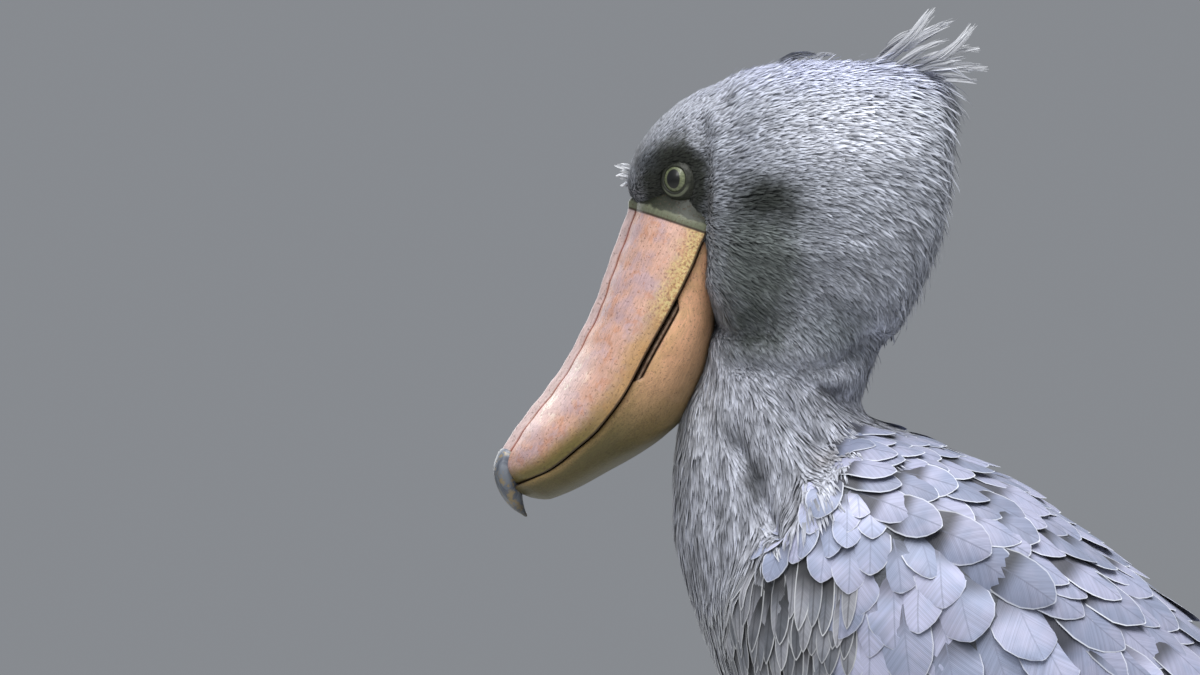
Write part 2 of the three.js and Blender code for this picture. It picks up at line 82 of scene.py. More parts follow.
def frame_shift() -> Vector:
    """Returns where the bird's own origin lies in the frame, in millimetres."""
    low, high = (Vector(corner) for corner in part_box("eye_left"))
    return (low + high) / (2 * MM) - EYE_MIDDLE


SHIFT = frame_shift()


def at(x: float, y: float, z: float) -> Vector:
    """Returns a point of the bird's own frame as metres in the frame."""
    return (Vector((x, y, z)) + SHIFT) * MM


def own(points: np.ndarray) -> np.ndarray:
    """Returns points of the frame, in metres, as millimetres in the bird's own frame."""
    return points / MM - np.array(SHIFT)


def through(rows: Sequence[Row]) -> Callable[[float], list[float]]:
    """Makes a monotone cubic curve through rows of (place, value, value, ...).

    Args:
        rows: the rows, in the order of their places.

    Returns:
        A function from a place to its values, held at both ends.
    """
    table = np.array(rows, float)
    places, values = table[:, 0], table[:, 1:]
    slopes = np.diff(values, axis=0) / np.diff(places)[:, None]
    turns = slopes[:-1] * slopes[1:]
    with np.errstate(divide="ignore", invalid="ignore"):
        inner = np.where(turns <= 0, 0.0, 2 * turns / (slopes[:-1] + slopes[1:]))
    tangents = np.vstack([slopes[:1], inner, slopes[-1:]])

    def value(place: float) -> list[float]:
        """Returns the values at a place."""
        held = min(max(place, places[0]), places[-1])
        i = int(min(max(np.searchsorted(places, held) - 1, 0), len(places) - 2))
        span = places[i + 1] - places[i]
        t = (held - places[i]) / span
        ease = t * t * (3 - 2 * t)
        bend = tangents[i] * t * (1 - t) ** 2 + tangents[i + 1] * t * t * (t - 1)
        return (values[i] + (values[i + 1] - values[i]) * ease + span * bend).tolist()

    return value


def soft_step(values: np.ndarray, low: float, high: float) -> np.ndarray:
    """Returns 0 below low, 1 above high, and a smooth rise between them."""
    t = np.clip((values - low) / (high - low), 0, 1)
    return t * t * (3 - 2 * t)


def linear(colour: str) -> tuple[float, float, float, float]:
    """Returns an sRGB hex colour as linear red, green, blue and alpha."""
    parts = [int(colour[i : i + 2], 16) / 255 for i in (0, 2, 4)]
    turned = [c / 12.92 if c <= 0.04045 else ((c + 0.055) / 1.055) ** 2.4 for c in parts]
    return (*turned, 1.0)


def add_node(tree: bpy.types.NodeTree, kind: str, props: dict | None = None,
             inputs: dict | None = None) -> bpy.types.Node:
    """Adds a node.

    Args:
        tree: the material's node tree.
        kind: the node's type.
        props: settings of the node by name.
        inputs: values or sockets by input name or number.

    Returns:
        The node.
    """
    made = tree.nodes.new(kind)
    for key, value in (props or {}).items():
        setattr(made, key, value)
    for key, value in (inputs or {}).items():
        if isinstance(value, bpy.types.NodeSocket):
            tree.links.new(value, made.inputs[key])
        else:
            made.inputs[key].default_value = value
    return made


@dataclass(frozen=True)
class Spot:
    """A patch of colour on the plumage, the same on both sides of the bird; some are markings, others painted
    light and shade.
    """

    centre: Row
    reach: Row
    colour: str
    strength: float = 1.0
    core: float = 0.35  # how much of the reach has the full colour


# Colours on the plumage by its place, each over the ones before it: its own markings, painted light and
# painted shade.
PLUMAGE_MARKS_AND_PAINTED_LIGHT = (
    Spot((0, -110, 1092), (100, 150, 60), "b8bdd6", 0.85, 0.2),  # crown, painted light from above
    Spot((75, -96, 1032), (44, 66, 40), "c8cbd6", 0.85, 0.2),  # temple, painted light from above
    Spot((66, -158, 948), (44, 46, 66), "656c69", 0.92, 0.25),  # cheek, painted shade under the ear tuft
    Spot((64, -166, 902), (44, 46, 30), "444b46", 0.92, 0.2),  # jaw, painted shade under the cheek, with a green cast of painted reflection
    Spot((60, -106, 902), (44, 36, 26), "737a80", 0.75, 0.2),  # painted shade under the back of the head
    Spot((76, -152, 988), (34, 34, 23), "1f251f", 0.94, 0.2),  # ear, painted shade under the ear tuft
    Spot((44, -212, 997), (40, 32, 40), "24281f", 0.98, 0.6),  # dark face round the eye, with painted shade under the brow and the cheek's ruffled edge
    Spot((30, -236, 1018), (40, 20, 18), "555a62", 0.7, 0.2),  # forehead, painted shade
    Spot((20, -196, 848), (60, 30, 56), "c4c7d0", 0.75, 0.2),  # front of the neck
    Spot((60, -105, 812), (24, 40, 18), "665d56", 0.85, 0.3),  # down before the shoulder
    Spot((60, -160, 806), (40, 11, 26), "3a3d42", 0.85, 0.1),  # painted shade in the furrow on the neck's side
    Spot((60, -106, 862), (40, 20, 11), "34373c", 0.85, 0.2),  # painted shade in the furrow where the neck bends
    Spot((100, -97, 775), (14, 12, 12), "c2bfbd", 0.8, 0.3),  # pale down at the wing's bend
)


class Finish(Enum):
    """The bird's finishes, by name of the record's material slot."""

    HEAD = "head_feathers"
    BODY = "body_feathers"
    WING = "wing_feathers"
    FLIGHT = "flight_feathers"
    BILL = "bill_horn"
    NAIL = "nail_horn"
    EYE = "eye"
    LEG = "leg_skin"
    CLAW = "claw_horn"


def new_material(name: str) -> tuple[bpy.types.Material, bpy.types.NodeTree]:
    """Makes an empty material.

    Args:
        name: what the surface really is.

    Returns:
        The material and its node tree.
    """
    made = bpy.data.materials.new(name)
    made.use_nodes = True
    made.node_tree.nodes.clear()
    return made, made.node_tree


def shade(tree: bpy.types.NodeTree, colour: Socket, roughness: float, normal: Socket | None = None,
          **fixed: float) -> None:
    """Ends a material in its shader.

    Args:
        tree: the material's node tree.
        colour: the colour's socket.
        roughness: the roughness.
        normal: the bump's socket, if there is one.
        fixed: other numbers of the shader, with _ for each space.
    """
    inputs = {"Base Color": colour, "Roughness": roughness}
    inputs |= {key.replace("_", " "): value for key, value in fixed.items()}
    if normal is not None:
        inputs["Normal"] = normal
    shader = add_node(tree, "ShaderNodeBsdfPrincipled", None, inputs)
    add_node(tree, "ShaderNodeOutputMaterial", None, {"Surface": shader.outputs["BSDF"]})


def mixed(tree: bpy.types.NodeTree, factor: Value, first: Colour, second: Colour,
          blend: str = "MIX") -> Socket:
    """Mixes two colours.

    Args:
        tree: the material's node tree.
        factor: how much of the second colour, as a number or a socket.
        first: the first colour.
        second: the second colour.
        blend: the way of mixing.

    Returns:
        The mixed colour's socket.
    """
    props = {"data_type": "RGBA", "blend_type": blend}
    return add_node(tree, "ShaderNodeMix", props, {0: factor, 6: first, 7: second}).outputs[2]


def ramp(tree: bpy.types.NodeTree, value: Socket, low: float, high: float,
         to: tuple[float, float] = (0.0, 1.0)) -> Socket:
    """Turns a value's range smoothly to another.

    Args:
        tree: the material's node tree.
        value: the value's socket.
        low: the value that gives to[0].
        high: the value that gives to[1].
        to: what comes out at each end.

    Returns:
        The new value's socket.
    """
    inputs = {"Value": value, 1: low, 2: high, 3: to[0], 4: to[1]}
    props = {"interpolation_type": "SMOOTHSTEP"}
    return add_node(tree, "ShaderNodeMapRange", props, inputs).outputs[0]


def noise(tree: bpy.types.NodeTree, vector: Socket, size: float, detail: float = 3.0, rough: float = 0.6,
          unit_length: float = MM) -> Socket:
    """Adds noise with grains of a real size.

    Args:
        tree: the material's node tree.
        vector: the coordinates' socket.
        size: the size of a grain, in millimetres.
        detail: octaves of finer grain.
        rough: how strong the finer grain is.
        unit_length: a millimetre in the coordinates' unit.

    Returns:
        The noise's socket.
    """
    inputs = {"Vector": vector, "Scale": 1 / (size * unit_length), "Detail": detail, "Roughness": rough}
    return add_node(tree, "ShaderNodeTexNoise", None, inputs).outputs["Fac"]


def worked(tree: bpy.types.NodeTree, operation: str, *values: Value) -> Socket:
    """Returns the socket of an operation on numbers or sockets."""
    return add_node(tree, "ShaderNodeMath", {"operation": operation}, dict(enumerate(values))).outputs[0]


def vector_worked(tree: bpy.types.NodeTree, operation: str, *values: Row | Vector | Socket) -> bpy.types.Node:
    """Returns the node of an operation on vectors or sockets."""
    return add_node(tree, "ShaderNodeVectorMath", {"operation": operation}, dict(enumerate(values)))


def toned(tree: bpy.types.NodeTree, colour: Colour, factor: Socket) -> Socket:
    """Returns the socket of a colour times a plain number's socket."""
    return mixed(tree, 1.0, colour, vector_of(tree, factor, factor, factor), "MULTIPLY")


def object_place(tree: bpy.types.NodeTree) -> Socket:
    """Returns the socket of a point's place in the frame."""
    return add_node(tree, "ShaderNodeTexCoord").outputs["Object"]


def split(tree: bpy.types.NodeTree, vector: Socket) -> Sequence[Socket]:
    """Returns the sockets of a vector's three numbers."""
    return add_node(tree, "ShaderNodeSeparateXYZ", None, {0: vector}).outputs


def bumped(tree: bpy.types.NodeTree, height: Socket, strength: float, depth: float) -> Socket:
    """Makes a surface uneven.

    Args:
        tree: the material's node tree.
        height: the height's socket.
        strength: how strong it looks, 0 to 1.
        depth: from lowest to highest, in millimetres.

    Returns:
        The socket for the shader's normal.
    """
    inputs = {"Height": height, "Strength": strength, "Distance": depth * MM}
    return add_node(tree, "ShaderNodeBump", None, inputs).outputs[0]


def streaked(tree: bpy.types.NodeTree, colour: Colour, coords: Socket, strength: float) -> Socket:
    """Returns a colour's socket with upright streaks: painted light where tufts run together, painted shade
    in the gaps where they stand apart.
    """
    if not strength:
        return colour
    x, y, z = split(tree, coords)
    drawn_out = vector_of(tree, x, y, worked(tree, "MULTIPLY", z, 0.22))
    runs = noise(tree, drawn_out, 5.0, 2.0)
    return toned(tree, colour, ramp(tree, runs, 0.38, 0.6, (1 - strength, 1 + 0.45 * strength)))


def numbers(tree: bpy.types.NodeTree, name: str) -> Sequence[Socket]:
    """Returns the sockets of an attribute's three numbers."""
    return split(tree, add_node(tree, "ShaderNodeAttribute", {"attribute_name": name}).outputs["Vector"])


def vector_of(tree: bpy.types.NodeTree, *parts: Value) -> Socket:
    """Returns the socket of a vector made of numbers or sockets."""
    return add_node(tree, "ShaderNodeCombineXYZ", None, dict(enumerate(parts))).outputs[0]


@dataclass(frozen=True)
class Plumage:
    """Feather keratin with melanin: matt, blue-grey, with painted shade toward the roots, where each tuft
    lies under the ones above, and painted light on the tips.

    The eye sees soft streaks, because each tuft's tip is paler than what lies under it.
    """

    name: str
    base: str
    # The tones at a tuft's root and tip: painted shade where it lies under the ones above, painted light on
    # its tip.
    root_shade: float = 0.45
    tip_tone: float = 1.12
    scatter: float = 0.22  # how much paler or darker than its neighbours a tuft may be
    roughness: float = 0.8
    sheen: float = 0.15
    streak: float = 0.0  # how strong the upright streaks of painted light and shade are
    spots: tuple[Spot, ...] = PLUMAGE_MARKS_AND_PAINTED_LIGHT

    def ground(self, tree: bpy.types.NodeTree, coords: Socket) -> Socket:
        """Returns the socket of the plumage's colour by place, with the spots' painted light and shade."""
        x, y, z = split(tree, coords)
        folded = vector_of(tree, worked(tree, "ABSOLUTE", x), y, z)
        wobble = noise(tree, coords, 9.0)
        cloud = ramp(tree, noise(tree, coords, 13.0, 4.0), 0.32, 0.68, (0.84, 1.12))
        colour = toned(tree, linear(self.base), cloud)
        for spot in self.spots:
            off = vector_worked(tree, "SUBTRACT", folded, at(*spot.centre)).outputs[0]
            off = vector_worked(tree, "MULTIPLY", off, tuple(1 / (r * MM) for r in spot.reach)).outputs[0]
            far = vector_worked(tree, "LENGTH", off).outputs["Value"]
            shaken = worked(tree, "MULTIPLY_ADD", wobble, 0.5, far)
            factor = ramp(tree, shaken, spot.core + 0.25, 1.3, (spot.strength, 0.0))
            colour = mixed(tree, factor, colour, linear(spot.colour))
        return colour

    def spread(self, tree: bpy.types.NodeTree, chance: Socket) -> Socket:
        """Returns the socket of a tuft's own tone, from its chance."""
        return ramp(tree, chance, 0.0, 1.0, (1 - self.scatter, 1 + self.scatter))

    def material(self) -> bpy.types.Material:
        """Returns the material of a piece made of tufts."""
        made, tree = new_material(self.name)
        coords = object_place(tree)
        colour = streaked(tree, self.ground(tree, coords), coords, self.streak)
        along, chance, _ = numbers(tree, "tuft")
        # Painted shade toward each tuft's root and painted light on its tip.
        lit = ramp(tree, along, 0.0, 0.9, (self.root_shade, self.tip_tone))
        colour = toned(tree, colour, worked(tree, "MULTIPLY", lit, self.spread(tree, chance)))
        shade(tree, colour, self.roughness, Sheen_Weight=self.sheen)
        return made


@dataclass(frozen=True)
class SkinFinish(Plumage):
    """Skin under the plumage, with its grey down, darkened as painted shade so that gaps between feathers
    read deep.
    """

    def material(self) -> bpy.types.Material:
        """Returns the skin's material."""
        made, tree = new_material(self.name)
        coords = object_place(tree)
        # The down's cloud stays between two dark tones: painted shade in the gaps between feathers.
        down = ramp(tree, noise(tree, coords, 1.6, 4.0), 0.3, 0.7, (self.root_shade, self.tip_tone))
        colour = toned(tree, self.ground(tree, coords), down)
        shade(tree, colour, self.roughness, bumped(tree, noise(tree, coords, 1.2), 0.5, 1.0))
        return made


@dataclass(frozen=True)
class VaneFinish(Plumage):
    """A broad vane: slate-blue to lilac barbs on a thin shaft, with a worn pale fringe and painted shade
    toward its root, where it lies under the vane above.
    """

    second: str = "9a98a8"
    fringe: str = "d3d6df"
    fringe_mm: float = 1.3
    shaft: str = "5d6270"
    barb_mm: float = 1.5  # drawn coarser than the real 0.4 mm, which wouldn't show
    shown: tuple[float, float] = (0.1, 0.8)  # where the painted shade at the root ends and the full colour starts

    def material(self) -> bpy.types.Material:
        """Returns the vanes' material."""
        made, tree = new_material(self.name)
        coords = object_place(tree)
        along, chance, pale = numbers(tree, "tuft")
        side, length, edge = numbers(tree, "vane")
        off_shaft = worked(tree, "ABSOLUTE", side)
        barb = worked(tree, "MULTIPLY_ADD", off_shaft, -1.1, length)
        wave = worked(tree, "SINE", worked(tree, "MULTIPLY", barb, 2 * math.pi / self.barb_mm))
        clump = noise(tree, vector_of(tree, barb, worked(tree, "MULTIPLY", chance, 60.0)), 2.6, 2.0, 0.6, 1.0)
        hue = worked(tree, "MULTIPLY_ADD", chance, 0.3, noise(tree, coords, 22.0, 2.0))
        colour = mixed(tree, ramp(tree, hue, 0.45, 0.85), linear(self.base), linear(self.second))
        colour = streaked(tree, colour, coords, self.streak)
        for tone in (
            ramp(tree, clump, 0.3, 0.7, (0.88, 1.1)),
            ramp(tree, wave, -1.0, 1.0, (0.965, 1.03)),
            # Painted shade toward the root, under the overlying vane.
            ramp(tree, along, *self.shown, (self.root_shade, self.tip_tone)),
            self.spread(tree, chance),
        ):
            colour = toned(tree, colour, tone)
        stem = ramp(tree, off_shaft, 0.25, 0.8, (0.55, 0.0))
        colour = mixed(tree, stem, colour, linear(self.shaft))
        rim = ramp(tree, edge, self.fringe_mm * 0.45, self.fringe_mm, (1.0, 0.0))
        colour = mixed(tree, worked(tree, "MULTIPLY", rim, pale), colour, linear(self.fringe))
        shade(tree, colour, self.roughness, bumped(tree, wave, 0.25, 0.15), Sheen_Weight=self.sheen)
        return made


def finished(mesh: bpy.types.Mesh, name: str, finish: bpy.types.Material, slot: Finish,
             replaced: Sequence[str] = ()) -> bpy.types.Object:
    """Makes a mesh a piece of the bird.

    Args:
        mesh: the piece's mesh, in its place in the frame.
        name: the piece's name.
        finish: its material.
        slot: the record's slot that the finish belongs to; not used.
        replaced: the solids that it stands for.

    Returns:
        The piece.
    """
    piece = bpy.data.objects.new(name, mesh)
    bpy.context.scene.collection.objects.link(piece)
    mesh.materials.clear()
    mesh.materials.append(finish)
    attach(piece, "root")
    if replaced:
        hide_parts(*replaced)
    log.info("%s: %d faces", name, len(mesh.polygons))
    return piece


def wrapped(name: str, surface: Callable[[float, float], tuple[Vector, Row]], around: int,
            along: int, smooth: bool = True) -> bpy.types.Mesh:
    """Rolls a grid into a closed body and sets each vertex where a surface rule says.

    Args:
        name: the mesh's name.
        surface: from (turn, length), both 0 to 1, to a point in millimetres and three numbers
            that the finish reads as the attribute "place".
        around: faces round the body.
        along: faces along it.
        smooth: whether its faces are shaded smooth.

    Returns:
        The mesh, in metres in the frame.
    """
    made = bmesh.new()
    place = made.verts.layers.float_vector.new("place")
    grid = bmesh.ops.create_grid(made, x_segments=around, y_segments=along, size=0.5)
    for vert in grid["verts"]:
        point, numbers = surface(vert.co.x + 0.5, vert.co.y + 0.5)
        vert.co = at(*point)
        vert[place] = Vector(numbers)
    bmesh.ops.remove_doubles(made, verts=made.verts, dist=0.01 * MM)
    bmesh.ops.dissolve_degenerate(made, dist=0.005 * MM, edges=made.edges)
    bmesh.ops.recalc_face_normals(made, faces=made.faces)
    for face in made.faces:
        face.smooth = smooth
    mesh = bpy.data.meshes.new(name)
    made.to_mesh(mesh)
    made.free()
    return mesh


@dataclass(frozen=True)
class Fold:
    """A ridge (rise over 0) or furrow of the plumage along a line in the side view."""

    rise: float
    width: float
    side: float  # it fades out nearer to the middle of the bird than this
    line: tuple[Row, ...]


# Folds of head and neck: the ruffled edge of the cheek, the brow, and furrows where the neck bends.
FOLDS = (
    Fold(4.4, 6.5, 30, ((-186, 1046), (-183, 1020), (-183, 980), (-185, 945), (-182, 900))),
    Fold(9.0, 13.0, -10, ((-186, 932), (-182, 896))),
    Fold(2.6, 6.0, 14, ((-232, 1014), (-214, 1020), (-196, 1021))),
    Fold(-3.4, 4.0, 24, ((-194, 1036), (-192, 1000), (-194, 975))),
    Fold(-7.5, 6.0, 0, ((-176, 882), (-140, 876), (-104, 879), (-80, 896))),
    Fold(-8.0, 5.0, 16, ((-128, 868), (-104, 861), (-84, 852))),
    Fold(-9.5, 6.0, 18, ((-176, 832), (-160, 806), (-152, 775))),
    Fold(6.0, 10.0, 16, ((-150, 850), (-138, 822), (-128, 800))),
    Fold(-7.0, 5.0, 16, ((-150, 868), (-134, 846), (-116, 832))),
    Fold(-3.0, 6.0, 20, ((-196, 860), (-188, 820), (-186, 780))),
    Fold(2.0, 9.0, 30, ((-150, 915), (-120, 908), (-96, 920))),
    Fold(1.8, 8.0, 30, ((-165, 960), (-130, 950), (-96, 955))),
)


def off_line(points: np.ndarray, line: Sequence[Row]) -> np.ndarray:
    """Returns how far points lie from a line of straight parts, both in the side view."""
    best = np.full(len(points), np.inf)
    ends = np.array(line, float)
    for start, end in zip(ends, ends[1:]):
        way = end - start
        part = np.clip((points - start) @ way / (way @ way), 0, 1)
        best = np.minimum(best, np.linalg.norm(points - start - part[:, None] * way, axis=1))
    return best


def off_eye(points: np.ndarray, ahead: float) -> np.ndarray:
    """Returns how far points lie from a point ahead of the nearer eye's middle, in millimetres."""
    folded = points * np.where(points[:, :1] < 0, (-1, 1, 1), (1, 1, 1))
    return np.linalg.norm(folded - np.array(EYE_MIDDLE + EYE_LOOK * ahead), axis=1)


@dataclass
class Skin:
    """One skin over head, neck, trunk, wings and thighs, inside their solids by the coat's depth."""

    voxel: float = 3.3
    rounds: int = 2
    nodes: tuple[str, ...] = (
        "head", "neck_upper", "neck_lower", "trunk", "wing_left", "wing_right",
        "wing_flight_left", "wing_flight_right", "thigh_left", "thigh_right", "tail",
    )
    mesh: bpy.types.Mesh = field(init=False)
    tree: BVHTree = field(init=False)
    corners: np.ndarray = field(init=False)
    normals: np.ndarray = field(init=False)
    faces: np.ndarray = field(init=False)
    places: np.ndarray = field(init=False)

    def coat_depth(self, points: np.ndarray) -> np.ndarray:
        """Returns how deep the coat is at points, in millimetres."""
        x, y, z = np.abs(points[:, 0]), points[:, 1], points[:, 2]
        head = np.interp(y, (-240, -195, -186, -60), (0.9, 0.9, 2.6, 4.0))
        head += 2.5 * np.exp(-((off_eye(points, 11) / 13) ** 2))
        body = np.interp(z, (350, 378, 430, 470, 700, 830, 900), (9.0, 5.5, 3.0, 5.0, 5.5, 4.5, 3.6))
        depth = np.where(z > 905, head, body)
        depth = np.where((x > 88) & (z < 860), 4.0, depth)
        depth *= np.interp(y, (120, 330), (1.0, 0.3))
        for fold in FOLDS:
            near = np.exp(-((off_line(points[:, 1:], fold.line) / fold.width) ** 2))
            depth -= fold.rise * near * soft_step(x, fold.side, fold.side + 18)
        return depth

    def remeshed(self) -> bpy.types.Mesh:
        """Returns the flesh's solids as one even mesh."""
        made = bmesh.new()
        for node in self.nodes:
            made.from_mesh(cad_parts[node].data)
        bmesh.ops.remove_doubles(made, verts=made.verts, dist=0.02 * MM)
        rough = bpy.data.meshes.new("flesh")
        made.to_mesh(rough)
        made.free()
        carrier = bpy.data.objects.new("flesh", rough)
        bpy.context.scene.collection.objects.link(carrier)
        remesh = carrier.modifiers.new("even", "REMESH")
        remesh.mode = "VOXEL"
        remesh.voxel_size = self.voxel * MM
        graph = bpy.context.evaluated_depsgraph_get()
        even = bpy.data.meshes.new_from_object(carrier.evaluated_get(graph))
        bpy.data.objects.remove(carrier)
        return even

    def build(self) -> bpy.types.Object:
        """Returns the skin, and keeps what the coats need of it."""
        mesh = self.remeshed()
        made = bmesh.new()
        made.from_mesh(mesh)
        for _ in range(self.rounds):
            bmesh.ops.smooth_vert(made, verts=made.verts, factor=0.5, use_axis_x=True, use_axis_y=True,
                                  use_axis_z=True)
        made.normal_update()
        spots = np.array([vert.co for vert in made.verts])
        depths = self.coat_depth(own(spots))
        for vert, depth in zip(made.verts, depths):
            vert.co -= vert.normal * (float(depth) * MM)
        for _ in range(2):
            bmesh.ops.smooth_vert(made, verts=made.verts, factor=0.5, use_axis_x=True, use_axis_y=True,
                                  use_axis_z=True)
        bmesh.ops.triangulate(made, faces=made.faces)
        for face in made.faces:
            face.smooth = True
        made.to_mesh(mesh)
        made.free()
        mesh.name = "skin"
        # The skin's dark tones are painted shade for the gaps between feathers.
        finish = SkinFinish("Downy skin in painted shade", "7f848f", 0.32, 0.55)
        piece = finished(mesh, "skin", finish.material(), Finish.BODY, self.nodes)
        self.unwrap(piece)
        self.keep(mesh)
        return piece

    def unwrap(self, piece: bpy.types.Object) -> None:
        """Lays the skin flat on the map named OFBake."""
        piece.data.uv_layers.new(name="OFBake")
        bpy.context.view_layer.objects.active = piece
        piece.select_set(True)
        bpy.ops.object.mode_set(mode="EDIT")
        bpy.ops.mesh.select_all(action="SELECT")
        bpy.ops.uv.smart_project(angle_limit=math.radians(70), island_margin=0.002)
        bpy.ops.object.mode_set(mode="OBJECT")
        piece.select_set(False)

    def keep(self, mesh: bpy.types.Mesh) -> None:
        """Keeps the skin's corners, normals, faces and map as arrays."""
        self.mesh = mesh
        count = len(mesh.vertices)
        self.corners = np.zeros(count * 3)
        mesh.vertices.foreach_get("co", self.corners)
        self.corners = self.corners.reshape(-1, 3)
        self.normals = np.zeros(count * 3)
        mesh.vertices.foreach_get("normal", self.normals)
        self.normals = self.normals.reshape(-1, 3)
        self.faces = np.zeros(len(mesh.polygons) * 3, int)
        mesh.polygons.foreach_get("vertices", self.faces)
        self.faces = self.faces.reshape(-1, 3)
        flat = np.zeros(len(mesh.loops) * 2)
        mesh.uv_layers["OFBake"].data.foreach_get("uv", flat)
        self.places = flat.reshape(-1, 3, 2)
        self.tree = BVHTree.FromPolygons(self.corners.tolist(), self.faces.tolist())

    def sample(self, count: int, rng: np.random.Generator,
               where: Callable[[np.ndarray], np.ndarray]) -> tuple[np.ndarray, np.ndarray, np.ndarray]:
        """Scatters roots over the skin.

        Args:
            count: how many roots to try on the whole skin.
            rng: the source of chance.
            where: from points in the bird's own frame to how likely a root stays, 0 to 1.

        Returns:
            Points in metres, their normals and their places on the map.
        """
        ends = self.corners[self.faces]
        areas = np.linalg.norm(np.cross(ends[:, 1] - ends[:, 0], ends[:, 2] - ends[:, 0]), axis=1)
        middles = own(ends.mean(axis=1))
        wanted = areas * (where(middles) > 0)
        pick = rng.choice(len(areas), count, p=wanted / wanted.sum())
        a, b = rng.random(count), rng.random(count)
        flip = a + b > 1
        a, b = np.where(flip, 1 - a, a), np.where(flip, 1 - b, b)
        weights = np.stack([1 - a - b, a, b], axis=1)[:, :, None]
        points = (ends[pick] * weights).sum(axis=1)
        normals = (self.normals[self.faces[pick]] * weights).sum(axis=1)
        spots = (self.places[pick] * weights).sum(axis=1)
        stay = rng.random(count) < where(own(points))
        normals /= np.linalg.norm(normals, axis=1, keepdims=True)
        return points[stay], normals[stay], spots[stay]

    def settle(self, points: np.ndarray) -> tuple[np.ndarray, np.ndarray]:
        """Returns the nearest points of the skin and the smooth normals there."""
        found = [self.tree.find_nearest(point) for point in points.tolist()]
        spots = np.array([hit[0] for hit in found])
        index = np.array([hit[2] for hit in found])
        normals = self.normals[self.faces[index]].mean(axis=1)
        return spots, normals / np.linalg.norm(normals, axis=1, keepdims=True)


def unit(vectors: np.ndarray) -> np.ndarray:
    """Returns vectors at length 1."""
    return vectors / np.maximum(np.linalg.norm(vectors, axis=-1, keepdims=True), 1e-9)


@dataclass
class Lie:
    """The way that the plumage lies: guides of (x, y, z, along x, along y, along z), left side."""

    guides: tuple[Row, ...]
    power: float = 3.0

    def direction(self, points: np.ndarray, normals: np.ndarray) -> np.ndarray:
        """Returns the lie at points in metres, as unit vectors on the skin."""
        table = np.array(self.guides, float)
        spots = own(points)
        side = np.where(spots[:, :1] < 0, -1.0, 1.0)
        folded = spots * np.hstack([side, np.ones_like(side), np.ones_like(side)])
        gaps = np.linalg.norm(folded[:, None, :] - table[None, :, :3], axis=2)
        weights = 1 / (gaps + 8.0) ** self.power
        ways = weights @ unit(table[:, 3:])
        ways[:, 0] *= side[:, 0]
        ways -= normals * (ways * normals).sum(axis=1, keepdims=True)
        return unit(ways)


BODY_LIE = Lie((
    (0, -238, 1022, 0, 0.30, 0.95), (0, -200, 1058, 0, 0.85, 0.5), (0, -140, 1080, 0, 1, 0.08),
    (0, -70, 1078, 0, 0.97, 0.25), (0, -38, 1056, 0, 0.85, -0.5), (0, -30, 1005, 0, 0.5, -0.85),
    (0, -55, 930, 0, 0.25, -0.97), (0, -86, 862, 0, 0.3, -0.95), (40, -200, 1045, 0, 0.85, 0.45),
    (48, -228, 1004, 0, 0.6, 0.4), (50, -205, 975, 0, 1, -0.1), (52, -195, 1012, 0, 1, 0.3),
    (66, -178, 1030, 0, 1, 0.25), (72, -172, 990, 0, 1, 0.05), (76, -135, 1030, 0, 1, 0.0),
    (78, -130, 970, 0, 0.98, -0.2), (70, -170, 940, 0, 0.9, -0.45), (72, -160, 905, 0, 0.75, -0.65),
    (72, -75, 1020, 0, 0.95, -0.3), (74, -75, 960, 0, 0.75, -0.65), (66, -70, 915, 0, 0.4, -0.9),
    (40, -150, 885, 0, 0.5, -0.5), (0, -203, 872, 0, 0.05, -1), (60, -180, 870, 0, 0.1, -1),
    (62, -120, 865, 0, 0.3, -0.95), (0, -216, 780, 0, 0, -1), (80, -170, 790, 0, 0.12, -1),
    (85, -120, 790, 0, 0.3, -0.95), (95, -165, 700, 0, 0.1, -1), (0, -195, 700, 0, 0.15, -1),
    (0, -150, 630, 0, 0.6, -0.8), (60, -140, 630, 0, 0.4, -0.9), (0, -50, 570, 0, 0.9, -0.45),
    (0, 100, 500, 0, 0.85, -0.5), (0, 250, 420, 0, 0.8, -0.6), (62, -20, 500, 0, 0.12, -1),
    (62, -12, 400, 0, 0.1, -1), (80, 80, 560, 0, 0.75, -0.65),
))

WING_LIE = Lie((
    (88, -160, 760, 0, -0.25, -0.95), (100, -160, 690, 0, -0.1, -1), (112, -120, 720, 0, -0.15, -1),
    (112, -105, 790, 0, 0.0, -1), (125, -92, 750, 0, -0.05, -1), (132, -60, 700, 0, 0.12, -1),
    (130, -80, 640, 0, 0.2, -1), (134, -20, 690, 0, 0.4, -0.9), (136, 20, 640, 0, 0.6, -0.8),
    (134, 60, 650, 0, 0.7, -0.72), (125, 120, 560, 0, 0.78, -0.62), (110, 200, 520, 0, 0.8, -0.6),
    (70, 300, 450, 0, 0.8, -0.6), (60, 250, 560, 0, 0.79, -0.61),
))

BACK_LIE = Lie((
    (55, -95, 835, 0, 0.95, -0.35), (70, -60, 818, 0, 0.93, -0.4), (0, -60, 850, 0, 0.9, -0.4),
    (95, -50, 780, 0, 0.85, -0.55), (60, 10, 800, 0, 0.86, -0.5), (110, 10, 735, 0, 0.72, -0.7),
    (0, 50, 790, 0, 0.82, -0.56), (90, 70, 735, 0, 0.76, -0.64), (110, 110, 670, 0, 0.74, -0.66),
    (0, 200, 670, 0, 0.79, -0.61), (80, 250, 560, 0, 0.79, -0.61), (30, 350, 460, 0, 0.8, -0.6),
))


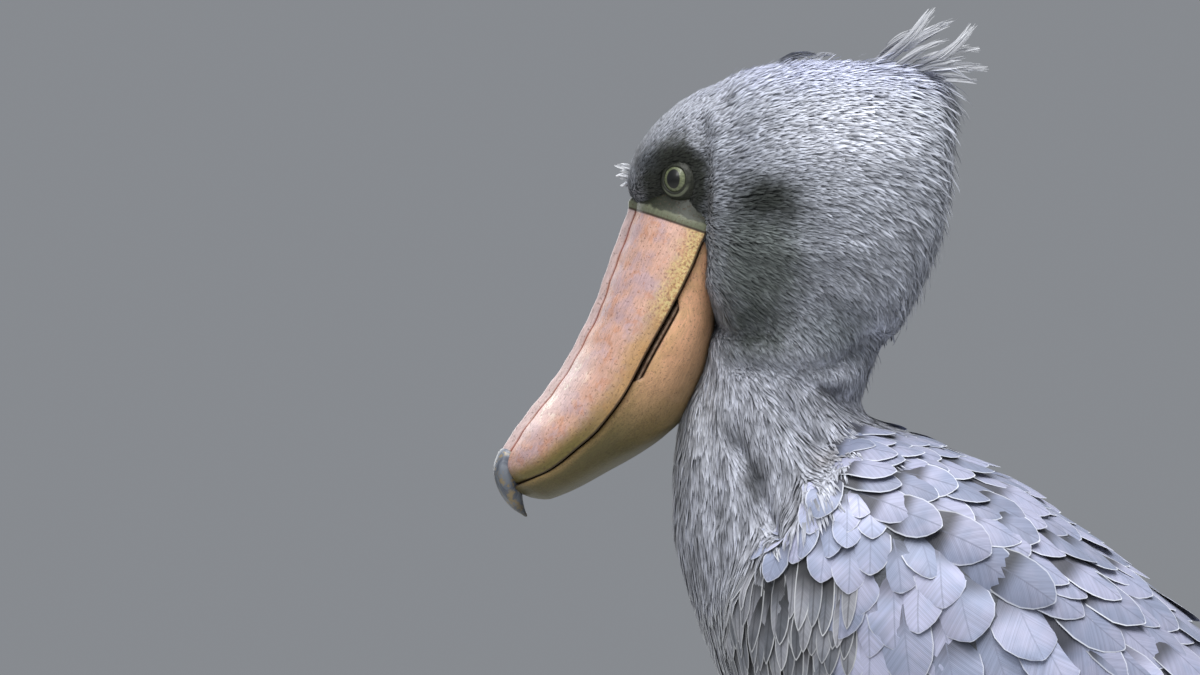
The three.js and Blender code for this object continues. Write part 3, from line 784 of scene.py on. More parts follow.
def joined_mesh(name: str, points: np.ndarray, faces: list[np.ndarray], loop_places: np.ndarray,
                numbers: dict[str, np.ndarray]) -> bpy.types.Mesh:
    """Makes one mesh of many small like things.

    Args:
        name: the mesh's name.
        points: every corner, in metres.
        faces: arrays of faces, each with one count of corners.
        loop_places: each corner's place on the bake map.
        numbers: three numbers for each corner, by attribute name.

    Returns:
        The mesh.
    """
    mesh = bpy.data.meshes.new(name)
    mesh.vertices.add(len(points))
    mesh.vertices.foreach_set("co", points.astype(np.float32).ravel())
    corners = np.concatenate([block.ravel() for block in faces])
    sizes = np.concatenate([np.full(len(block), block.shape[1]) for block in faces])
    mesh.loops.add(len(corners))
    mesh.loops.foreach_set("vertex_index", corners.astype(np.int32))
    mesh.polygons.add(len(sizes))
    starts = np.concatenate([[0], np.cumsum(sizes)[:-1]])
    mesh.polygons.foreach_set("loop_start", starts.astype(np.int32))
    mesh.polygons.foreach_set("loop_total", sizes.astype(np.int32))
    mesh.polygons.foreach_set("use_smooth", np.ones(len(sizes), bool))
    for key, values in numbers.items():
        layer = mesh.attributes.new(key, "FLOAT_VECTOR", "POINT")
        layer.data.foreach_set("vector", values.astype(np.float32).ravel())
    flat = mesh.uv_layers.new(name="OFBake")
    flat.data.foreach_set("uv", loop_places[corners].astype(np.float32).ravel())
    mesh.update(calc_edges=True)
    mesh.validate()
    return mesh


@dataclass
class Tufts:
    """Feathers to be laid, one row of each array for each feather."""

    points: np.ndarray  # their roots, in metres
    ways: np.ndarray  # the way that each one points
    maps: np.ndarray  # each root's place on the bake map
    lengths: np.ndarray  # in millimetres, like the widths and the lifts
    widths: np.ndarray
    lifts: np.ndarray  # how high each tip stands over the skin
    pale: np.ndarray | None = None  # how pale each fringe is, 0 to 1

    def part(self, wanted: np.ndarray) -> "Tufts":
        """Returns the feathers that are wanted."""
        every = (self.points, self.ways, self.maps, self.lengths, self.widths, self.lifts)
        return Tufts(*(values[wanted] for values in every))


@dataclass(frozen=True)
class Blades:
    """Many feathers of one build, each a thin blade that follows the skin.

    Its rows run across the blade from root to tip, and its columns along it.
    """

    rows: Row  # how far along the blade each row lies, 0 to 1
    outline: Row  # half width of each row, as a part of the greatest
    columns: Row = (-1.0, 1.0)
    camber: float = 0.0  # how far the edges fall, as a part of the half width
    twist: float = 0.06  # how much blades roll about their length, in radians

    def build(self, name: str, skin: Skin, lie: Lie, tufts: Tufts, rng: np.random.Generator,
              base: float = -0.6, curl: float = 0.0, patch: float = PATCH,
              free: np.ndarray | None = None) -> bpy.types.Mesh:
        """Makes the feathers.

        Args:
            name: the mesh's name.
            skin: the skin that they grow on.
            lie: the way that they lie.
            tufts: the feathers.
            rng: the source of chance.
            base: height of the root over the skin, in millimetres.
            curl: how much a tip bends back to the skin, as a part of its lift.
            patch: the width of a feather's place on the bake map.
            free: upward directions of feathers that don't follow the skin.

        Returns:
            The mesh.
        """
        count, k, m = len(tufts.points), len(self.rows), len(self.columns)
        spots, normals = skin.settle(tufts.points) if free is None else (tufts.points, free)
        heading, lengths, lifts = tufts.ways, tufts.lengths, tufts.lifts
        points = np.zeros((count, k, m, 3))
        side_mm = np.zeros((count, k, m))
        edge_mm = np.zeros((count, k, m))
        cols = np.array(self.columns)
        spin = rng.normal(0, self.twist, count)
        before = self.rows[0]
        for i, (far, wide) in enumerate(zip(self.rows, self.outline)):
            step = (far - before) * lengths * MM
            if i and free is not None:
                spots = spots + heading * step[:, None]
            elif i:
                spots, normals = skin.settle(spots + heading * step[:, None])
                flow = lie.direction(spots, normals)
                heading = heading - normals * (heading * normals).sum(axis=1, keepdims=True)
                heading = unit(unit(heading) * 0.75 + flow * 0.25)
            before = far
            height = base + (lifts - base) * far * (1 - curl * far)
            across = unit(np.cross(heading, normals))
            across = unit(across + normals * spin[:, None] * far)
            middle = spots + normals * (height * MM)[:, None]
            half = (tufts.widths * wide / 2)[:, None]
            side_mm[:, i] = half * cols
            drop = self.camber * half * cols * cols
            points[:, i] = (middle[:, None] + across[:, None] * (half * cols * MM)[:, :, None]
                            - normals[:, None] * (drop * MM)[:, :, None])
            rounding = (1 - cols * cols) * half * 0.25 * (far == self.rows[-1])
            edge_mm[:, i] = np.minimum(half * (1 - abs(cols)), ((1 - far) * lengths)[:, None] + rounding)
        chance = rng.random(count)
        pale = np.ones(count) if tufts.pale is None else tufts.pale
        shape = (count, k, m)
        along = np.broadcast_to(np.array(self.rows)[None, :, None], shape)
        tuft = np.stack([along, np.broadcast_to(chance[:, None, None], shape),
                         np.broadcast_to(pale[:, None, None], shape)], axis=-1)
        vane = np.stack([side_mm, along * lengths[:, None, None], edge_mm], axis=-1)
        offset = np.stack([np.broadcast_to(cols[None, None, :] / 2, shape), along - 0.5], axis=-1)
        places = tufts.maps[:, None, None, :] + offset * patch
        one = np.arange(k * m).reshape(k, m)
        quads = np.stack([one[:-1, :-1], one[:-1, 1:], one[1:, 1:], one[1:, :-1]], axis=-1).reshape(-1, 4)
        faces = (quads[None] + (np.arange(count) * k * m)[:, None, None]).reshape(-1, 4)
        return joined_mesh(name, points.reshape(-1, 3), [faces], places.reshape(-1, 2),
                           {"tuft": tuft.reshape(-1, 3), "vane": vane.reshape(-1, 3)})


def spread_out(points: np.ndarray, ways: np.ndarray, normals: np.ndarray, along: np.ndarray,
               across: np.ndarray) -> np.ndarray:
    """Picks roots that keep their distance, each in its own oval.

    Args:
        points: roots to pick from, in metres.
        ways: each root's lie.
        normals: the skin's normals there.
        along: the least distance along the lie, in millimetres.
        across: the least distance across it, in millimetres.

    Returns:
        The places of the picked roots in points.
    """
    kept: list[int] = []
    sides = unit(np.cross(ways, normals))
    for i in range(len(points)):
        if kept:
            gap = (points[kept] - points[i]) / MM
            far = (gap @ ways[i] / along[i]) ** 2 + (gap @ sides[i] / across[i]) ** 2
            far += (gap @ normals[i] / across[i]) ** 2
            if far.min() < 1:
                continue
        kept.append(i)
    return np.array(kept)


def thinned(points: np.ndarray, cell: float) -> np.ndarray:
    """Keeps one root in each cell of a grid, cell millimetres wide."""
    keys = np.floor(points / (cell * MM)).astype(np.int64)
    _, first = np.unique(keys, axis=0, return_index=True)
    return np.sort(first)


def varied(rng: np.random.Generator, values: np.ndarray, low: float, high: float) -> np.ndarray:
    """Returns values that each differ by a chance factor from low to high."""
    return values * rng.uniform(low, high, len(values))


STRAND_ROWS = (0.0, 0.45, 0.8, 1.0)
STRAND_OUTLINE = (0.55, 1.0, 0.7, 0.08)
LANCE_ROWS = (0.0, 0.3, 0.6, 0.85, 1.0)
LANCE_OUTLINE = (0.4, 0.95, 1.0, 0.6, 0.06)
VANE_ROWS = (0.0, 0.22, 0.42, 0.6, 0.75, 0.87, 0.95, 1.0)
VANE_OUTLINE = (0.35, 0.78, 0.97, 1.0, 0.9, 0.66, 0.36, 0.06)
FLIGHT_ROWS = (*np.linspace(0, 0.86, 13).tolist(), 0.92, 0.96, 0.985, 1.0)
FLIGHT_OUTLINE = (*(0.5 + 0.5 * math.sin(min(far / 0.5, 1) * math.pi / 2) for far in FLIGHT_ROWS[:13]),
                  0.84, 0.62, 0.4, 0.1)
VANE_COLUMNS = (-1.0, -0.86, -0.45, 0.0, 0.45, 0.86, 1.0)


@dataclass
class Coat:
    """A coat of many small tufts on part of the skin, in one piece or more."""

    seed: int
    tries: int  # how many roots are tried on the whole skin
    cell: float  # the least room of a root, in millimetres
    swirl: float  # how much the tufts' ways differ, in radians
    blades: Blades
    sunk: float  # the root's height over the skin, in millimetres
    curl: float
    finish: Plumage
    slot: Finish = Finish.BODY

    def where(self, points: np.ndarray) -> np.ndarray:
        """Returns how likely a root grows at points."""
        raise NotImplementedError

    def sizes(self, spots: np.ndarray, rng: np.random.Generator) -> Sequence[np.ndarray]:
        """Returns lengths, widths and lifts of the tufts at their roots, in millimetres."""
        raise NotImplementedError

    def parts(self, spots: np.ndarray) -> dict[str, np.ndarray]:
        """Returns which roots belong to each piece, by its name."""
        raise NotImplementedError

    def build(self, skin: Skin) -> None:
        """Grows the coat."""
        rng = np.random.default_rng(SEED + self.seed)
        points, normals, maps = skin.sample(self.tries, rng, self.where)
        keep = thinned(points, self.cell)
        points, normals, maps = points[keep], normals[keep], maps[keep]
        ways = BODY_LIE.direction(points, normals)
        ways = unit(ways + np.cross(normals, ways) * rng.normal(0, self.swirl, (len(points), 1)))
        spots = own(points)
        tufts = Tufts(points, ways, maps, *self.sizes(spots, rng))
        material = self.finish.material()
        for name, part in self.parts(spots).items():
            mesh = self.blades.build(name, skin, BODY_LIE, tufts.part(part), rng, self.sunk, self.curl)
            finished(mesh, name, material, self.slot)


@dataclass
class HeadCoat(Coat):
    """Short soft feathers of the head, smallest and darkest on the face."""

    seed: int = 0
    tries: int = 330000
    cell: float = 1.25
    swirl: float = 0.22
    blades: Blades = Blades(STRAND_ROWS, STRAND_OUTLINE)
    sunk: float = -0.4
    curl: float = 0.25
    finish: Plumage = Plumage("Soft head feathers", "a8acb7", 0.32, 1.12, 0.3)
    slot: Finish = Finish.HEAD
    eye_gap: float = 9.8
    middle: float = -128.0  # where the front pieces meet the back ones

    def where(self, points: np.ndarray) -> np.ndarray:
        """Returns how likely a root grows at points."""
        y, z = points[:, 1], points[:, 2]
        low = np.interp(y, (-196, -189, -180, -90, -40), (960, 898, 878, 872, 880))
        return ((z > low) & (off_eye(points, 9) > self.eye_gap)).astype(float)

    def sizes(self, spots: np.ndarray, rng: np.random.Generator) -> Sequence[np.ndarray]:
        """Returns lengths, widths and lifts: short on the face, raised at the muff and the crest."""
        x, y, z = np.abs(spots[:, 0]), spots[:, 1], spots[:, 2]
        face = 1 - soft_step(y, -196, -176)
        back = soft_step(y, -120, -40)
        muff = np.exp(-((y + 180) / 8) ** 2) * soft_step(z, 900, 930) * (x > 30)
        lengths = varied(rng, 10.5 + 6.5 * back - 5.5 * face + 3 * muff, 0.75, 1.3)
        widths = varied(rng, 1.35 - 0.3 * face + 0.25 * back, 0.75, 1.25)
        lifts = varied(rng, 2.6 + 1.8 * back - 1.5 * face + 2.6 * muff, 0.4, 1.6)
        crest = np.exp(-((np.linalg.norm(spots - (0, -66, 1070), axis=1) / 26) ** 2))
        lengths, lifts = lengths * (1 + 1.1 * crest), lifts * (1 + 2.4 * crest)
        stray = rng.random(len(spots)) < 0.03
        return lengths, widths, np.where(stray & (face < 0.3), lifts * 2.2, lifts)

    def parts(self, spots: np.ndarray) -> dict[str, np.ndarray]:
        """Returns which roots belong to each piece: front and back on each side."""
        left, front = spots[:, 0] > 0, spots[:, 1] < self.middle
        return {
            "head_coat_front_left": front & left, "head_coat_front_right": front & ~left,
            "head_coat_back_left": ~front & left, "head_coat_back_right": ~front & ~left,
        }


@dataclass
class NeckCoat(Coat):
    """Hair-like neck feathers that grow into long pointed plumes over the breast."""

    seed: int = 1
    tries: int = 170000
    cell: float = 1.72
    swirl: float = 0.16
    blades: Blades = Blades(LANCE_ROWS, LANCE_OUTLINE)
    sunk: float = -0.8
    curl: float = 0.3
    finish: Plumage = Plumage("Hair-like neck feathers", "a9acb7", 0.24, 1.16, 0.24, streak=0.3)

    def where(self, points: np.ndarray) -> np.ndarray:
        """Returns how likely a root grows at points."""
        y, z = points[:, 1], points[:, 2]
        high = np.interp(y, (-200, -178, -90, -40), (905, 900, 900, 905))
        low = np.interp(y, (-220, -150, -110, -60), (745, 768, 816, 838))
        return ((z < high) & (z > low)).astype(float)

    def sizes(self, spots: np.ndarray, rng: np.random.Generator) -> Sequence[np.ndarray]:
        """Returns lengths, widths and lifts, all greater lower down."""
        low = 1 - soft_step(spots[:, 2], 760, 880)
        return (varied(rng, 18 + 14 * low, 0.75, 1.3), varied(rng, 1.5 + 1.1 * low, 0.7, 1.3),
                varied(rng, 2.8 + 1.6 * low, 0.3, 1.6))

    def parts(self, spots: np.ndarray) -> dict[str, np.ndarray]:
        """Returns that all roots belong to one piece."""
        return {"neck_coat": np.ones(len(spots), bool)}


@dataclass
class BodyCoat(Coat):
    """Long pointed feathers of the breast and the softer ones of belly and thighs."""

    seed: int = 2
    tries: int = 90000
    cell: float = 4.3
    swirl: float = 0.12
    blades: Blades = Blades((0.0, 0.2, 0.45, 0.7, 0.88, 1.0), (0.4, 0.85, 1.0, 0.8, 0.45, 0.05),
                            (-1.0, 0.0, 1.0), 0.25)
    sunk: float = -1.0
    curl: float = 0.25
    finish: Plumage = VaneFinish(
        "Pointed breast feathers", "8f93a0", 0.18, 1.16, 0.34, streak=0.45, second="8f909a",
        fringe="d2d5dc", fringe_mm=1.0, shaft="3c3f47", shown=(0.2, 0.85))

    def where(self, points: np.ndarray) -> np.ndarray:
        """Returns how likely a root grows at points."""
        x, y, z = np.abs(points[:, 0]), points[:, 1], points[:, 2]
        high = np.interp(y, (-220, -150, -100, 0, 200, 400), (765, 775, 700, 640, 520, 400))
        wing = (x > 95) & (y > -110) & (z > np.interp(y, (-110, 200), (610, 470)))
        return ((z < high) & ~wing & (y < 330) & (front_area(points) == 0)).astype(float)

    def sizes(self, spots: np.ndarray, rng: np.random.Generator) -> Sequence[np.ndarray]:
        """Returns lengths, widths and lifts, all smaller on the thighs."""
        thigh = 1 - soft_step(spots[:, 2], 430, 560)
        return (varied(rng, 36 - 16 * thigh, 0.75, 1.3), varied(rng, 5.6 - 1.8 * thigh, 0.65, 1.25),
                varied(rng, 4.5 - 2.0 * thigh, 0.45, 1.4))

    def parts(self, spots: np.ndarray) -> dict[str, np.ndarray]:
        """Returns which roots belong to each piece, from the breast down."""
        z = spots[:, 2]
        return {"breast_coat": z >= 600, "belly_coat": (z < 600) & (z >= 490), "thigh_coat": z < 490}


# The lower edge of the shoulder feathers over the wing, in the side view: (y, z).
SHOULDER_EDGE = ((-126, 812), (-110, 806), (-78, 784), (-32, 757), (13, 731), (84, 682), (200, 590),
                 (300, 505), (390, 430))


def over_edge(points: np.ndarray) -> np.ndarray:
    """Returns how far points lie above the shoulder feathers' edge, in millimetres."""
    table = np.array(SHOULDER_EDGE, float)
    return points[:, 2] - np.interp(points[:, 1], table[:, 0], table[:, 1])


@dataclass
class VaneTract:
    """A tract of broad overlapping vanes over wing or back."""

    name: str
    lie: Lie
    where: Callable[[np.ndarray], np.ndarray]
    sizes: tuple[Row, ...]  # (x, y, z, length, width)
    lift: float
    base: float
    finish: VaneFinish
    seed: int
    tries: int = 15000
    apart: Row = (0.28, 0.52)  # least distance of roots, as parts of length and width
    slot: Finish = Finish.WING

    def size(self, points: np.ndarray) -> tuple[np.ndarray, np.ndarray]:
        """Returns the length and width that a feather has at points."""
        table = np.array(self.sizes, float)
        spots = own(points)
        spots[:, 0] = np.abs(spots[:, 0])
        gaps = np.linalg.norm(spots[:, None, :] - table[None, :, :3], axis=2)
        weights = 1 / (gaps + 10.0) ** 3
        weights /= weights.sum(axis=1, keepdims=True)
        both = weights @ table[:, 3:]
        return both[:, 0], both[:, 1]

    def build(self, skin: Skin) -> None:
        """Grows the tract."""
        rng = np.random.default_rng(SEED + self.seed)
        points, normals, maps = skin.sample(self.tries, rng, self.where)
        ways = self.lie.direction(points, normals)
        lengths, widths = self.size(points)
        keep = spread_out(points, ways, normals, lengths * self.apart[0], widths * self.apart[1])
        points, normals, maps, ways = points[keep], normals[keep], maps[keep], ways[keep]
        count = len(points)
        ways = unit(ways + np.cross(normals, ways) * rng.normal(0, 0.1, (count, 1)))
        tufts = Tufts(points, ways, maps, varied(rng, lengths[keep], 0.88, 1.15),
                      varied(rng, widths[keep], 0.88, 1.12), self.lift * rng.uniform(0.6, 1.5, count),
                      rng.uniform(0.45, 1.0, count))
        blades = Blades(VANE_ROWS, VANE_OUTLINE, VANE_COLUMNS, 0.16, 0.13)
        mesh = blades.build(self.name, skin, self.lie, tufts, rng, self.base, 0.12)
        finished(mesh, self.name, self.finish.material(), self.slot)


def wing_front(points: np.ndarray) -> np.ndarray:
    """Returns how far points lie behind the front edge of the wing's coverts, in millimetres."""
    heights = (560, 640, 700, 765, 775, 806, 850)
    return points[:, 1] - np.interp(points[:, 2], heights, (-60, -100, -108, -104, -150, -158, -100))


def wing_area(points: np.ndarray) -> np.ndarray:
    """Returns where the wing's coverts grow."""
    x, y, z = np.abs(points[:, 0]), points[:, 1], points[:, 2]
    low = np.interp(y, (-175, -140, -50, 60, 180, 290, 340), (650, 612, 572, 535, 492, 446, 440))
    top = np.interp(y, (-150, -112, -100), (803, 803, 900))
    return ((x > 66) & (z > low) & (z < top) & (wing_front(points) > 0) & (over_edge(points) < 12)
            & (y < 330)).astype(float)


def front_area(points: np.ndarray) -> np.ndarray:
    """Returns where the narrow pale-edged feathers before the wing grow."""
    x, y, z = np.abs(points[:, 0]), points[:, 1], points[:, 2]
    start = np.interp(z, (560, 612, 656, 706, 770), (-50, -138, -176, -184, -172))
    return ((x > 58) & (y > start) & (wing_front(points) < 8) & (z < 770) & (z > 590)).astype(float)


def back_area(points: np.ndarray) -> np.ndarray:
    """Returns where the feathers of shoulder and back grow."""
    y, z = points[:, 1], points[:, 2]
    start = np.interp(y, (-126, -85, -60), (842, 864, 900))
    return ((over_edge(points) > 0) & (y > -126) & (z < start) & (y < 300)).astype(float)


WING_SIZES = (
    (95, -150, 790, 30, 17), (95, -120, 800, 34, 20), (120, -100, 740, 46, 27),
    (130, -70, 740, 58, 38), (134, -60, 680, 72, 50), (136, 0, 690, 80, 54), (136, 60, 640, 88, 52),
    (130, -100, 630, 56, 32), (120, 140, 540, 92, 48), (90, 260, 470, 92, 42),
)
FRONT_SIZES = (
    (80, -165, 760, 46, 9), (100, -165, 690, 58, 11), (120, -110, 740, 50, 11), (110, -120, 620, 60, 14),
)
BACK_SIZES = (
    (55, -95, 840, 38, 22), (90, -80, 800, 48, 30), (100, -40, 770, 56, 36), (60, 0, 810, 54, 30),
    (110, 20, 730, 70, 40), (0, 60, 780, 58, 32), (110, 90, 680, 80, 42), (90, 200, 600, 88, 42),
    (30, 330, 480, 84, 38),
)


@dataclass
class Wings:
    """Folded wings: coverts, the shoulder feathers over them, and the long flight feathers."""

    root_height: float = 0.4  # of the flight feathers over the skin, in millimetres
    paleness: float = 0.7  # of the flight feathers' fringes, 0 to 1

    def build(self, skin: Skin) -> None:
        """Grows the tracts and lays the flight feathers."""
        slate = VaneFinish("Slate covert vanes", "98a1bc", 0.34, 1.1, 0.12, 0.58, 0.15, second="a9abc4",
                           fringe="d3d7e3", fringe_mm=1.0, shaft="848aa2", shown=(0.25, 0.58))
        mantle = VaneFinish("Slate shoulder vanes", "7c849d", 0.16, 1.12, 0.16, 0.58, 0.15, second="8f91a8",
                            fringe="dce0ea", fringe_mm=1.3, shaft="5f6478", shown=(0.38, 0.6))
        narrow = VaneFinish("Narrow pale-edged vanes", "767a84", 0.16, 1.15, 0.34, 0.7, 0.2, second="8d8e96",
                            fringe="dcdee3", fringe_mm=1.0, shaft="3e4046", shown=(0.3, 0.75))
        VaneTract("front_feathers", WING_LIE, front_area, FRONT_SIZES, 4.4, -0.5, narrow, 7).build(skin)
        VaneTract("wing_coverts", WING_LIE, wing_area, WING_SIZES, 4.2, -0.5, slate, 3).build(skin)
        VaneTract("shoulder_feathers", BACK_LIE, back_area, BACK_SIZES, 5.6, 0.6, mantle, 4).build(skin)
        self.flight(skin)

    def flight(self, skin: Skin) -> None:
        """Lays primaries and secondaries on both sides, each row's innermost on top."""
        grey = VaneFinish("Slate secondary vanes", "8e98b1", 0.6, 1.05, 0.08, 0.6, 0.2, second="9c9fb6",
                          fringe="c9cedb", fringe_mm=1.1, shaft="34363e")
        dark = VaneFinish("Dark flight vanes", "3b3f49", 0.8, 1.05, 0.08, 0.6, 0.2, second="454853",
                          fringe="7b808c", fringe_mm=0.9, shaft="1f2024")
        blades = Blades(FLIGHT_ROWS, FLIGHT_OUTLINE, VANE_COLUMNS, 0.1, 0.02)
        # Each row of feathers: name, finish, count, then first and last (x, y, z, length, width, lift).
        rows = (
            ("primaries", dark, 8, (104, 104, 520, 318, 34, 0.8), (66, 150, 580, 318, 32, 2.4)),
            ("secondaries", grey, 15, (134, -64, 604, 186, 44, 1.6), (84, 150, 600, 262, 44, 5.0)),
        )
        for index, (name, finish, count, first, last) in enumerate(rows):
            rng = np.random.default_rng(SEED + 9 + index)
            one = np.linspace(first, last, count)
            table = np.concatenate([one, one * (-1, 1, 1, 1, 1, 1)])
            spots, normals = skin.settle((table[:, :3] + np.array(SHIFT)) * MM)
            ways = WING_LIE.direction(spots, normals)
            both = len(table)
            maps = np.stack([np.linspace(0.05, 0.95, both), np.full(both, 0.4 + 0.2 * index)], axis=1)
            tufts = Tufts(spots, ways, maps, *table[:, 3:].T, np.full(both, self.paleness))
            mesh = blades.build(name, skin, WING_LIE, tufts, rng, self.root_height, 0.0, BIG_PATCH)
            finished(mesh, name, finish.material(), Finish.FLIGHT)


@dataclass(frozen=True)
class LooseFinish:
    """Loose barbs of crest plumes, pale where the light comes through them."""

    name: str = "Loose crest barbs"
    dark: str = "565a64"
    pale: str = "eceef3"

    def material(self) -> bpy.types.Material:
        """Returns the barbs' material."""
        made, tree = new_material(self.name)
        along, chance, pale = numbers(tree, "tuft")
        lit = worked(tree, "MULTIPLY", pale, ramp(tree, along, 0.0, 0.7, (0.55, 1.0)))
        colour = mixed(tree, lit, linear(self.dark), linear(self.pale))
        shade(tree, toned(tree, colour, ramp(tree, chance, 0.0, 1.0, (0.8, 1.08))), 0.7)
        return made


@dataclass(frozen=True)
class Lock:
    """Loose barbs that run together to a point."""

    root: Row
    tip: Row
    bow: float  # how far its middle bows up
    barbs: int
    fan: float  # how far its barbs stand apart
    pale: float


# The crest's plumes, the shorter wisps round them, the dark feather on the crown and the bristles.
LOCKS = (
    Lock((4, -80, 1076), (8, -42.5, 1113.5), -3, 34, 3.6, 0.8),
    Lock((-5, -74, 1076), (-8, -27.5, 1106.5), 3, 34, 3.8, 0.75),
    Lock((6, -66, 1072), (12, -16, 1102.5), -7, 36, 3.6, 0.85),
    Lock((-3, -62, 1068), (-10, -6.5, 1074.5), 3, 32, 3.4, 0.8),
    Lock((8, -66, 1070), (4, -12, 1086), 4, 26, 3.0, 0.65),
    Lock((0, -84, 1077), (2, -52, 1101), 2, 24, 3.4, 0.5),
    Lock((-9, -80, 1075), (-14, -44, 1098), 3, 22, 3.0, 0.6),
    Lock((12, -72, 1070), (18, -34, 1092), 3, 24, 3.2, 0.6),
    Lock((14, -62, 1066), (20, -24, 1078), 3, 22, 3.0, 0.55),
    Lock((-12, -60, 1066), (-18, -20, 1082), 2, 20, 3.0, 0.55),
    Lock((6, -56, 1064), (10, -14, 1064), 3, 20, 3.0, 0.5),
    Lock((8, -146, 1076), (10, -119, 1082), 3.0, 26, 3.0, 0.12),
    Lock((-8, -124, 1078), (-10, -106, 1083), 2, 12, 2.2, 0.25),
    Lock((10, -236, 1004), (18, -251, 1010), 2, 20, 2.4, 1.0),
    Lock((9, -237, 1001), (17, -250, 1003), 1, 18, 2.4, 1.0),
    Lock((8, -238, 998), (15, -247, 996), 1, 14, 2.2, 1.0),
    Lock((-8, -237, 1004), (-13, -248, 1006), 2, 14, 1.8, 1.0),
)


@dataclass
class Crest:
    """Loose plumes at the back of the crown, and the few loose barbs elsewhere on the head."""

    rows: int = 9

    def build(self) -> None:
        """Makes every barb a thin ribbon along its lock."""
        rng = np.random.default_rng(SEED + 5)
        points, tufts, maps, faces = [], [], [], []
        grid = np.arange(self.rows * 2).reshape(self.rows, 2)
        one = np.stack([grid[:-1, 0], grid[:-1, 1], grid[1:, 1], grid[1:, 0]], axis=1)
        for lock in LOCKS:
            root, tip = (np.array(end, float) for end in (lock.root, lock.tip))
            way = unit(tip - root)
            reach = np.linalg.norm(tip - root)
            up = unit(np.cross(np.cross(way, (0, 0, 1)), way))
            side = np.cross(way, up)
            for _ in range(lock.barbs):
                begin, end = rng.uniform(0, 0.45), rng.uniform(0.72, 1.0)
                off, off_up = rng.uniform(-1, 1, 2) * lock.fan * (0.3, 0.62)
                width = rng.uniform(0.5, 1.0) + 1.6 * (rng.random() < 0.3)
                twist = math.pi / 2 + rng.normal(0, 0.5)
                wave, phase = rng.uniform(0.1, 0.9), rng.uniform(0, 6)
                middle_far = np.linspace(begin, end, self.rows)
                spread = np.sin(np.clip(middle_far * 0.95 + 0.1, 0, 1) * math.pi) ** 0.7
                bow = lock.bow * np.sin(middle_far * math.pi)
                stray = ((middle_far - begin) / (end - begin)) ** 2 * rng.normal(0, 0.022) * reach
                high = bow + off_up * spread + stray + wave * np.sin(middle_far * 7 + phase)
                path = (root + way * (middle_far * reach)[:, None] + up * high[:, None]
                        + side * (off * spread)[:, None])
                across = side * math.cos(twist) + up * math.sin(twist)
                half = width * np.sin(np.linspace(0.35, math.pi * 0.97, self.rows)) / 2 + 0.05
                pair = np.stack([path - across * half[:, None], path + across * half[:, None]], axis=1)
                faces.append(one + len(points) * self.rows * 2)
                points.append(pair.reshape(-1, 3))
                far = np.repeat(middle_far, 2)
                own_numbers = (far, np.full_like(far, rng.random()), np.full_like(far, lock.pale))
                tufts.append(np.stack(own_numbers, axis=1))
                base = rng.uniform(0.1, 0.9, 2)
                ribbon = np.stack([np.tile((0, 1), self.rows) - 0.5, far - 0.5], axis=1)
                maps.append(base + ribbon * PATCH)
        corners = (np.concatenate(points) + np.array(SHIFT)) * MM
        mesh = joined_mesh("crest_plumes", corners, [np.concatenate(faces)], np.concatenate(maps),
                           {"tuft": np.concatenate(tufts)})
        finished(mesh, "crest_plumes", LooseFinish().material(), Finish.HEAD, ("crest",))


@dataclass
class Tail:
    """Broad tail feathers in a flat fan, the middle one on top."""

    count: int = 11
    length: float = 190.0
    width: float = 36.0
    slope: float = math.radians(38.0)
    fan: float = math.radians(1.9)  # between neighbours
    spacing: float = 5.0  # between the roots of neighbours
    fall: float = 1.7  # how much lower each one lies than its inner neighbour

    def build(self, skin: Skin) -> None:
        """Lays the feathers."""
        rng = np.random.default_rng(SEED + 6)
        back = np.array((0, math.cos(self.slope), -math.sin(self.slope)))
        up = np.array((0, math.sin(self.slope), math.cos(self.slope)))
        order = np.arange(self.count) - self.count // 2
        turn = self.fan * order
        roots = np.array((0.0, -200.0, 740.0)) + back * 536 + up * (62 - self.fall * np.abs(order))[:, None]
        roots[:, 0] = order * self.spacing
        ways = back * np.cos(turn)[:, None] + np.array((1.0, 0, 0)) * np.sin(turn)[:, None]
        maps = np.stack([np.linspace(0.1, 0.9, self.count), np.full(self.count, 0.2)], axis=1)
        one = np.ones(self.count)
        tufts = Tufts((roots + np.array(SHIFT)) * MM, ways, maps, self.length * one, self.width * one,
                      0.0 * one, 0.7 * one)
        finish = VaneFinish("Dark tail vanes", "444953", 0.85, 1.05, 0.08, 0.6, 0.2, second="50535e",
                            fringe="7e838e", fringe_mm=0.9, shaft="1f2024")
        mesh = Blades(FLIGHT_ROWS, FLIGHT_OUTLINE, VANE_COLUMNS, 0.05).build(
            "tail_feathers", skin, WING_LIE, tufts, rng, 0.0, 0.0, BIG_PATCH, np.tile(up, (self.count, 1)))
        finished(mesh, "tail_feathers", finish.material(), Finish.FLIGHT)


def rounded(place: float, start: float, end: float, first: float, last: float) -> float:
    """Returns how far a body's section has opened near its rounded ends, 0 to 1."""
    near, far = min((place - start) / first, 1), min((end - place) / last, 1)
    return math.sqrt(max(1 - (1 - near) ** 2, 0)) * math.sqrt(max(1 - (1 - far) ** 2, 0))


